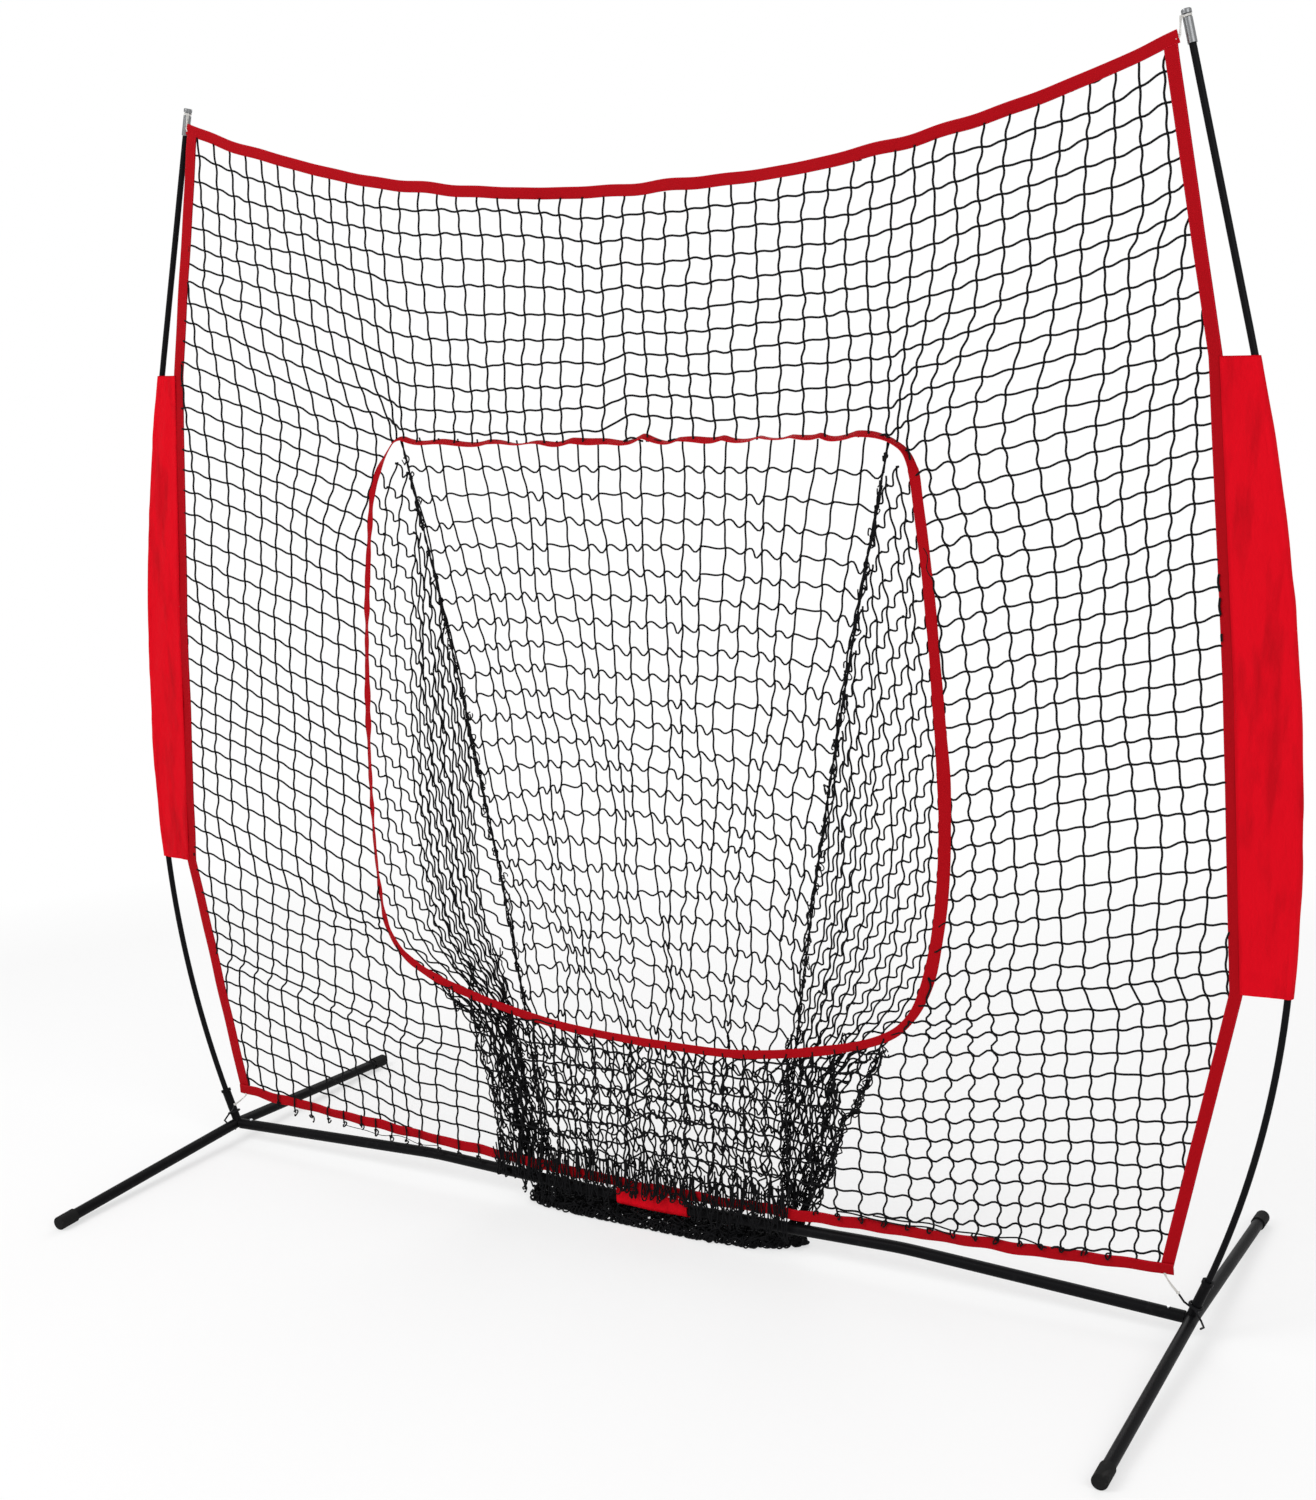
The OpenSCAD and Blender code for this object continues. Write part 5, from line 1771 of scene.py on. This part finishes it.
@dataclass
class ThroatTape:
    """The red tape round the opening, rolled edge-on where the pouch pulls it back."""

    width: float = 0.0170
    thick: float = 0.0022
    stations: int = 901
    top_roll: float = 1.24
    roll_levels: tuple[float, ...] = (0.43, 0.52, 0.60, 0.73, 0.90, 1.01, 1.29, 1.42)
    rolls: tuple[float, ...] = (0.05, 0.28, 0.46, 0.62, 0.56, 0.44, 0.40, 0.34)
    full_levels: tuple[float, ...] = (0.50, 0.60, 1.05, 1.20, 1.45)
    fullness: tuple[float, ...] = (1.0, 1.40, 1.36, 1.18, 1.12)
    peaks: tuple[tuple[float, float], ...] = (
        (-0.30, 0.0020), (-0.12, 0.0025), (0.03, 0.0060), (0.10, 0.0035), (0.19, 0.0050),
        (0.26, 0.0045), (0.32, 0.0035), (0.375, 0.0070), (0.44, 0.0025),
    )

    def roll(self, x: Array, z: Array) -> Array:
        """Angle that the tape is rolled by, in radians, at places on the outline."""
        left = past(-x, 0.52, 0.02)
        turned = np.interp(z, self.roll_levels, self.rolls)
        return mix(left * turned, self.top_roll, past(z, 1.465, 0.016))

    def build(self) -> None:
        """Builds and dresses the tape."""
        ring = OPENING.ring()
        ring = np.vstack([ring, ring[:1]])
        path = np.stack([ring[:, 0], np.full(len(ring), HANG.plane_y), ring[:, 1]], 1)
        spots = np.linspace(0, distance_along(path)[-1], self.stations)
        path = points_at(path, spots)
        x, z = path[:, 0], path[:, 2]
        high = past(z, 1.47, 0.015)
        roll = self.roll(x, z) + high * Drift(91, 0.13, 0.09).along(x)
        roll = roll + 0.15 * (1 - high) * Drift(94, 1.0, 0.07).along(spots) * (x < -0.4)
        outward = np.cross(tangents(path), BACK)
        flat = outward * np.cos(roll)[:, None] + BACK * np.sin(roll)[:, None]
        path[:, 2] += high * Drift(92, 0.0018, 0.10).along(x)
        for at, tall in self.peaks:
            path[:, 2] += high * tall * np.exp(-np.abs((x - at) / 0.013) ** 1.5)
        wide = self.width * (1 + 0.04 * Drift(93, 1.0, 0.2).along(spots))
        fuller = np.interp(z, self.full_levels, self.fullness)
        wide = wide * np.where((x > 0.4) & (z < 1.46), fuller, 1.0)
        skin = Skin()
        skin.ribbon(path, flat, wide, self.thick)
        skin.piece("opening_tape", RED_TAPE, "webbing_red", "throat_tape")


@dataclass(frozen=True)
class Arc:
    """An upright arc of a bowed pole: its centre and its radius."""

    x: float
    z: float
    radius: float

    def at(self, z: Array) -> Array:
        """Distance of the arc from the middle at a height."""
        return self.x + np.sqrt(self.radius**2 - (z - self.z) ** 2)


@dataclass
class Sleeve:
    """The red cloth sleeve that holds a pole to the net's side edge."""

    side: Side
    low_z: float = 0.628
    high_z: float = 1.632
    stations: int = 260
    inner: float = 0.0085
    cloth: float = 0.0010
    lap: float = 0.006
    edge_half: float = 0.0018
    hem_high: float = 0.016
    hem_thick: float = 0.0007
    low_arc: Arc = Arc(-0.60898, 0.7378, 1.8)
    high_arc: Arc = Arc(-2.5385, 0.7816, 3.73)
    arcs_meet: float = 0.697

    def pole_x(self, z: Array) -> Array:
        """Distance of the bowed pole from the middle at a height."""
        return np.where(z < self.arcs_meet, self.low_arc.at(z), self.high_arc.at(z))

    def section(self, z: float, off: float) -> Array:
        """The sleeve's outline at a height.

        Args:
            z: the height.
            off: distance from the pole's middle.

        Returns:
            Its points, from the webbing's front edge round the pole to its back.
        """
        seam = float(HANG.half(z)) + HANG.webbing / 2 - self.lap
        turn = np.radians(np.linspace(-112, 94, 26))
        pole = float(self.pole_x(np.array(z)))
        round_pole = np.stack([pole + off * np.cos(turn), off * np.sin(turn)], 1)
        edge = self.edge_half + (off - self.inner)
        front, back = (np.array([seam, HANG.plane_y + out]) for out in (-edge, edge))
        f = np.linspace(0, 1, 15)[:-1, None] ** 0.9
        return np.vstack([
            mix(front, round_pole[0], f), round_pole, mix(back, round_pole[-1], f)[::-1],
        ])

    def folds(self, around: Array, z: Array) -> Array:
        """How far the cloth's small folds stand out at places round the sleeve."""
        seed = 100 + self.side.value
        broad = Drift(seed, 0.0018, 0.10)(around * 1.8, z * 0.6)
        fine = Drift(seed + 7, 0.0007, 0.040)(around * 1.5, z * 0.7)
        return np.clip(broad + fine, -0.0020, 0.0036)

    def build(self) -> None:
        z = np.linspace(self.low_z, self.high_z, self.stations)
        outer, inner = (
            np.array([self.section(float(level), off) for level in z])
            for off in (self.inner + self.cloth, self.inner)
        )
        n = outer.shape[1]
        place = distance_along(outer[self.stations // 2])
        around, level = np.meshgrid(place, z)
        to_end = np.minimum(level - self.low_z, self.high_z - level)
        stands = self.folds(around, level) + self.hem_thick * (to_end < self.hem_high)
        half_turn = math.pi * np.arange(n) / (n - 1)
        held = np.sin(half_turn) ** 0.5 * (0.12 + 0.88 * np.abs(np.cos(half_turn)))
        along = np.gradient(outer, axis=1)
        normal = unit(np.stack([along[..., 1], -along[..., 0]], -1))
        shift = normal * (stands * held[None])[..., None]
        faces = [
            np.concatenate([grid + shift, level[..., None]], -1) * self.side.mirror
            for grid in (outer, inner)
        ]
        skin = Skin()
        skin.shell(*faces[:: self.side.value], z - self.low_z, place)
        word = self.side.word
        made = skin.piece("cloth_sleeve_" + word, RED_CLOTH, "sleeve_red", "sleeve_" + word)


@dataclass
class BarStrap:
    """The red band that ties the net's lower edge to the crossbar."""

    half: float = 0.078
    stations: int = 79
    bar_z: float = 0.04676
    bar_slope: float = math.radians(1.5)
    radius: float = 0.0122
    cloth: float = 0.0020
    hem: float = 0.008
    tab_top: float = 0.0732
    tab_y: float = -0.0123
    button_x: float = -0.0359
    button_turn: float = 2.5 * math.pi
    button_rise: float = 0.0025
    button_reach: tuple[float, float] = (0.0065, 0.42)

    def line(self, x: float, turn: Array) -> Array:
        """The strap's section at a place along the bar.

        Args:
            x: the place.
            turn: angles round the bar.

        Returns:
            Its points, from the tab's top down and round the bar.
        """
        centre = np.array([0.0, self.bar_z + abs(x) * math.tan(self.bar_slope)])
        wide, long = self.button_reach
        off = ((turn - self.button_turn) / long) ** 2 + ((x - self.button_x) / wide) ** 2
        reach = self.radius + self.button_rise * np.exp(-(off**2))
        loop = centre + reach[:, None] * np.stack([np.cos(turn), np.sin(turn)], 1)
        down = np.linspace(0, 1, 12)[:-1, None]
        line = np.vstack([mix(np.array([self.tab_y, self.tab_top]), loop[0], down), loop])
        ruck = Drift(121, 0.0006, 0.03)(np.arange(len(line)) * 0.004, x)
        ruck = ruck[:, None] * np.linspace(0, 1, len(line))[:, None]
        return line + unit(line - centre) * ruck

    def build(self) -> None:
        x = np.linspace(-self.half, self.half, self.stations)
        turn = np.radians(np.linspace(180, 500, 60))
        lines = np.array([self.line(spot, turn) for spot in x])
        along = np.gradient(lines, axis=1)
        hem = 1 + 0.5 * (self.half - np.abs(x) < self.hem)
        out = unit(np.stack([along[..., 1], -along[..., 0]], -1)) * self.cloth / 2
        out = out * hem[:, None, None]
        place = np.repeat(x[:, None, None], lines.shape[1], 1)
        inner, outer = (np.concatenate([place, face], -1) for face in (lines - out, lines + out))
        long = distance_along(lines[self.stations // 2])
        skin = Skin()
        skin.shell(inner, outer, x + self.half, long)
        made = skin.piece("tie_strap", RED_CLOTH, "sleeve_red", "bar_strap")


@dataclass
class CornerLoops:
    """White elastic loops between the net's corners and the frame."""

    cord: float = 0.0024
    lean: float = math.radians(13.8)
    tip_foot: tuple[float, float] = (1.0838, 1.6713)
    tip_z: float = 2.0839
    neck_up: float = 0.040
    neck_radius: float = 0.0062
    neck_turns: float = 1.9
    top_corner: tuple[float, float, float] = (0.0143, -0.014, 2.095)
    hook: tuple[float, float, float] = (1.0336, -0.0226, 0.0916)
    hook_turns: float = 2.2
    low_corner: tuple[float, float, float] = (1.010, -0.014, 0.1127)

    def doubled(self, skin: Skin, points: Sequence[Array], side: Side, apart: float) -> None:
        """Adds two cords side by side through given points.

        Args:
            skin: the skin to add to.
            points: the points, as if on the right.
            side: the side.
            apart: distance between the cords.
        """
        path = curve_through(np.array(points) * side.mirror, 16)
        turn = np.linspace(0, 3.5, len(path))
        for phase in (0.0, math.pi):
            off = np.stack([np.cos(turn + phase), np.sin(turn + phase), 0 * turn], 1)
            skin.string(path + off * apart / 2, self.cord / 2, 10)

    def top(self, side: Side) -> None:
        """Builds the loop that holds an upper corner to the pole's tip."""
        skin = Skin()
        axis = np.array([-math.sin(self.lean), 0, math.cos(self.lean)])
        level = np.array([-math.cos(self.lean), 0, -math.sin(self.lean)])
        base_x = self.tip_foot[0] - (self.tip_z - self.tip_foot[1]) * math.tan(self.lean)
        neck = np.array([base_x, 0, self.tip_z]) + self.neck_up * axis
        turn = np.linspace(0, math.tau * self.neck_turns, 110)[:, None]
        rise = np.linspace(-0.0014, 0.0014, len(turn))[:, None]
        coil = neck + self.neck_radius * (np.cos(turn) * level - np.sin(turn) * BACK)
        skin.string((coil + axis * rise) * side.mirror, self.cord / 2, 10)
        out = 0.69 * level - 0.73 * BACK
        corner = np.array(self.top_corner) + ACROSS * float(HANG.half(2.089))
        fold = corner + np.array([-0.004, -0.0006, -0.0065])
        near, leaves = neck + 0.0060 * out, neck + 0.0107 * out
        self.doubled(skin, [near, leaves, mix(leaves, corner, 0.55), corner, fold], side, self.cord)
        skin.piece("corner_loop_top_" + side.word, CORD, "loop_elastic", "loop_top_" + side.word)

    def bottom(self, side: Side) -> None:
        """Builds the loop that holds a lower corner to its hook."""
        skin = Skin()
        hook, corner = np.array(self.hook), np.array(self.low_corner)
        middle = mix(hook, corner, 0.5) + [0, -0.001, -0.001]
        fold = corner + [-0.002, 0, 0.006]
        self.doubled(skin, [hook, middle, corner, fold], side, self.cord * 0.9)
        turn = np.linspace(0, math.tau * self.hook_turns, 60)
        wide = 0.0022 + 0.0002 * np.cos(turn * 0.5)
        rise = np.linspace(-0.0016, 0.0016, len(turn))
        coil = np.stack([wide * np.cos(turn), wide * np.sin(turn), rise], 1)
        skin.string((hook + coil) * side.mirror, self.cord * 0.42, 8)
        word = "bottom_" + side.word
        skin.piece("corner_loop_" + word, CORD, "loop_elastic", "loop_" + word)

    def build(self) -> None:
        """Builds and dresses the four loops."""
        for side in Side:
            self.top(side)
            self.bottom(side)


# ---- the stage


@dataclass(frozen=True)
class HardParts:
    """The solids whose shape is right as it is: tubes, caps, poles, tips, buttons, hooks."""

    def build(self) -> None:
        """Gives each kept solid its finish."""
        slots = {part["node"]: part["material_slot"] for part in frame["record"]["subparts"]}
        for name, solid in frame["nodes"].items():
            finish = SLOT_FINISH.get(slots[name])
            if finish is None:
                continue
            solid.data.materials.clear()
            solid.data.materials.append(finish.material())
            LOG.info("dressed %s with %s", name, finish.name)


@dataclass(frozen=True)
class Lamp:
    """A soft round lamp that points at the net's middle."""

    name: str
    at: tuple[float, float, float]
    size: float
    watts: float
    aim: tuple[float, float, float] = (0.0, 0.0, 0.9)

    def build(self) -> None:
        """Adds the lamp."""
        data = bpy.data.lights.new(self.name, "AREA")
        data.shape = "DISK"
        data.size = self.size
        data.energy = self.watts
        lamp = bpy.data.objects.new(self.name, data)
        lamp.location = self.at
        ahead = Vector(self.aim) - Vector(self.at)
        lamp.rotation_euler = ahead.to_track_quat("-Z", "Y").to_euler()
        bpy.context.scene.collection.objects.link(lamp)


@dataclass(frozen=True)
class Stage:
    """Camera, floor and light."""

    eye: tuple[float, float, float] = (1.8174, -3.0830, 1.6329)
    turn: float = math.radians(-28.0)
    down: float = math.radians(13.2)
    tilt: float = math.radians(-1.1)
    lens: float = 47.44
    shift: tuple[float, float] = (-0.0469, 0.0522)
    floor_half: float = 14.0
    floor_z: float = -0.0006
    fade_from: float = 1.7
    fade_over: float = 1.6
    least_fade: float = 0.58
    paper: tuple[Colour, Colour] = ((0.90, 0.90, 0.90), (0.87, 0.87, 0.87))
    soft_light: float = 0.60
    lamps: tuple[Lamp, ...] = (
        Lamp("key", (-2.2, -3.4, 4.0), 2.6, 120.0),
        Lamp("fill", (3.6, -2.4, 2.8), 3.0, 60.0),
        Lamp("back", (-1.2, 4.2, 3.2), 3.2, 70.0),
    )

    def camera(self) -> None:
        """Places the camera."""
        flat, drop = math.cos(self.down), math.sin(self.down)
        ahead = Vector((math.sin(self.turn) * flat, math.cos(self.turn) * flat, -drop))
        right = Vector((math.cos(self.turn), -math.sin(self.turn), 0.0))
        up = right.cross(ahead)
        level, rise = math.cos(self.tilt), math.sin(self.tilt)
        right, up = right * level + up * rise, up * level - right * rise
        data = bpy.data.cameras.new("camera")
        data.lens = self.lens
        data.sensor_width = 36.0
        data.shift_x, data.shift_y = self.shift
        data.clip_end = 60.0
        camera = bpy.data.objects.new("camera", data)
        camera.matrix_world = Matrix((
            (right.x, up.x, -ahead.x, self.eye[0]),
            (right.y, up.y, -ahead.y, self.eye[1]),
            (right.z, up.z, -ahead.z, self.eye[2]),
            (0, 0, 0, 1),
        ))
        bpy.context.scene.collection.objects.link(camera)
        bpy.context.scene.camera = camera

    def seen(self, tree: Tree) -> Value:
        """One where a ray comes from the camera, a mirror or glass."""
        path = tree.node("ShaderNodeLightPath").socket.node
        kinds = ("Camera", "Glossy", "Transmission")
        seen, mirrored, through = (Value(tree, path.outputs[f"Is {kind} Ray"]) for kind in kinds)
        return (seen + mirrored + through).at_most(1.0)

    def floor(self) -> None:
        """Makes a pale floor that keeps the object's shadow and fades to white."""
        tree = Tree("floor_paper")
        x, y, _ = tree.split(tree.place())
        far = ((x * x + y * y) ** 0.5 - self.fade_from) / self.fade_over
        fade = far.at_least(self.least_fade).at_most(1.0) * self.seen(tree)
        grain = tree.noise(35.0)
        colour = tree.blend(grain * 0.2, *self.paper)
        paper = tree.node("ShaderNodeBsdfDiffuse", {"Color": colour})
        white = tree.node("ShaderNodeEmission", {"Color": (1, 1, 1), "Strength": 1.0})
        tree.surface(tree.node("ShaderNodeMixShader", {0: fade, 1: paper, 2: white}))
        mesh = bpy.data.meshes.new("floor")
        corners = ((-1, -1), (1, -1), (1, 1), (-1, 1))
        points = [(a * self.floor_half, b * self.floor_half, 0) for a, b in corners]
        mesh.from_pydata(points, [], [(0, 1, 2, 3)])
        mesh.materials.append(tree.material)
        floor = bpy.data.objects.new("floor", mesh)
        floor.location.z = self.floor_z
        bpy.context.scene.collection.objects.link(floor)

    def world(self) -> None:
        """Sets soft light from all round, and white for what the camera sees."""
        world = bpy.data.worlds.new("studio")
        bpy.context.scene.world = world
        tree = Tree("studio", world)
        soft = tree.node("ShaderNodeBackground", {"Color": (1, 1, 1), "Strength": self.soft_light})
        white = tree.node("ShaderNodeBackground", {"Color": (1, 1, 1), "Strength": 1.0})
        mixed = tree.node("ShaderNodeMixShader", {0: self.seen(tree), 1: soft, 2: white})
        end = tree.nodes.new("ShaderNodeOutputWorld")
        tree.links.new(mixed.socket, end.inputs[0])

    def build(self) -> None:
        """Builds the stage."""
        bpy.context.scene.view_settings.view_transform = "Standard"
        self.camera()
        self.floor()
        self.world()
        for lamp in self.lamps:
            lamp.build()


class Maker(Protocol):
    """Whatever builds pieces of its own."""

    def build(self) -> None:
        """Builds and dresses the pieces."""


def main() -> None:
    """Builds everything in order and reports each piece."""
    logging.basicConfig(level=logging.INFO, format="%(message)s")
    before = set(bpy.data.objects)
    Stage().build()
    makers: list[Maker] = [
        HardParts(), MainNet(), PouchBack(), PouchFront(), PouchSide(side=Side.LEFT),
        PouchSide(side=Side.RIGHT), Heap(), Bindings(), ThroatTape(),
        Sleeve(Side.LEFT), Sleeve(Side.RIGHT), BarStrap(), CornerLoops(),
    ]
    for maker in makers:
        maker.build()
        LOG.info("built %s", type(maker).__name__)
    for made in sorted(set(bpy.data.objects) - before, key=lambda o: o.name):
        if made.type == "MESH":
            LOG.info("piece %s: %d faces", made.name, len(made.data.polygons))


if __name__ == "__main__":
    main()
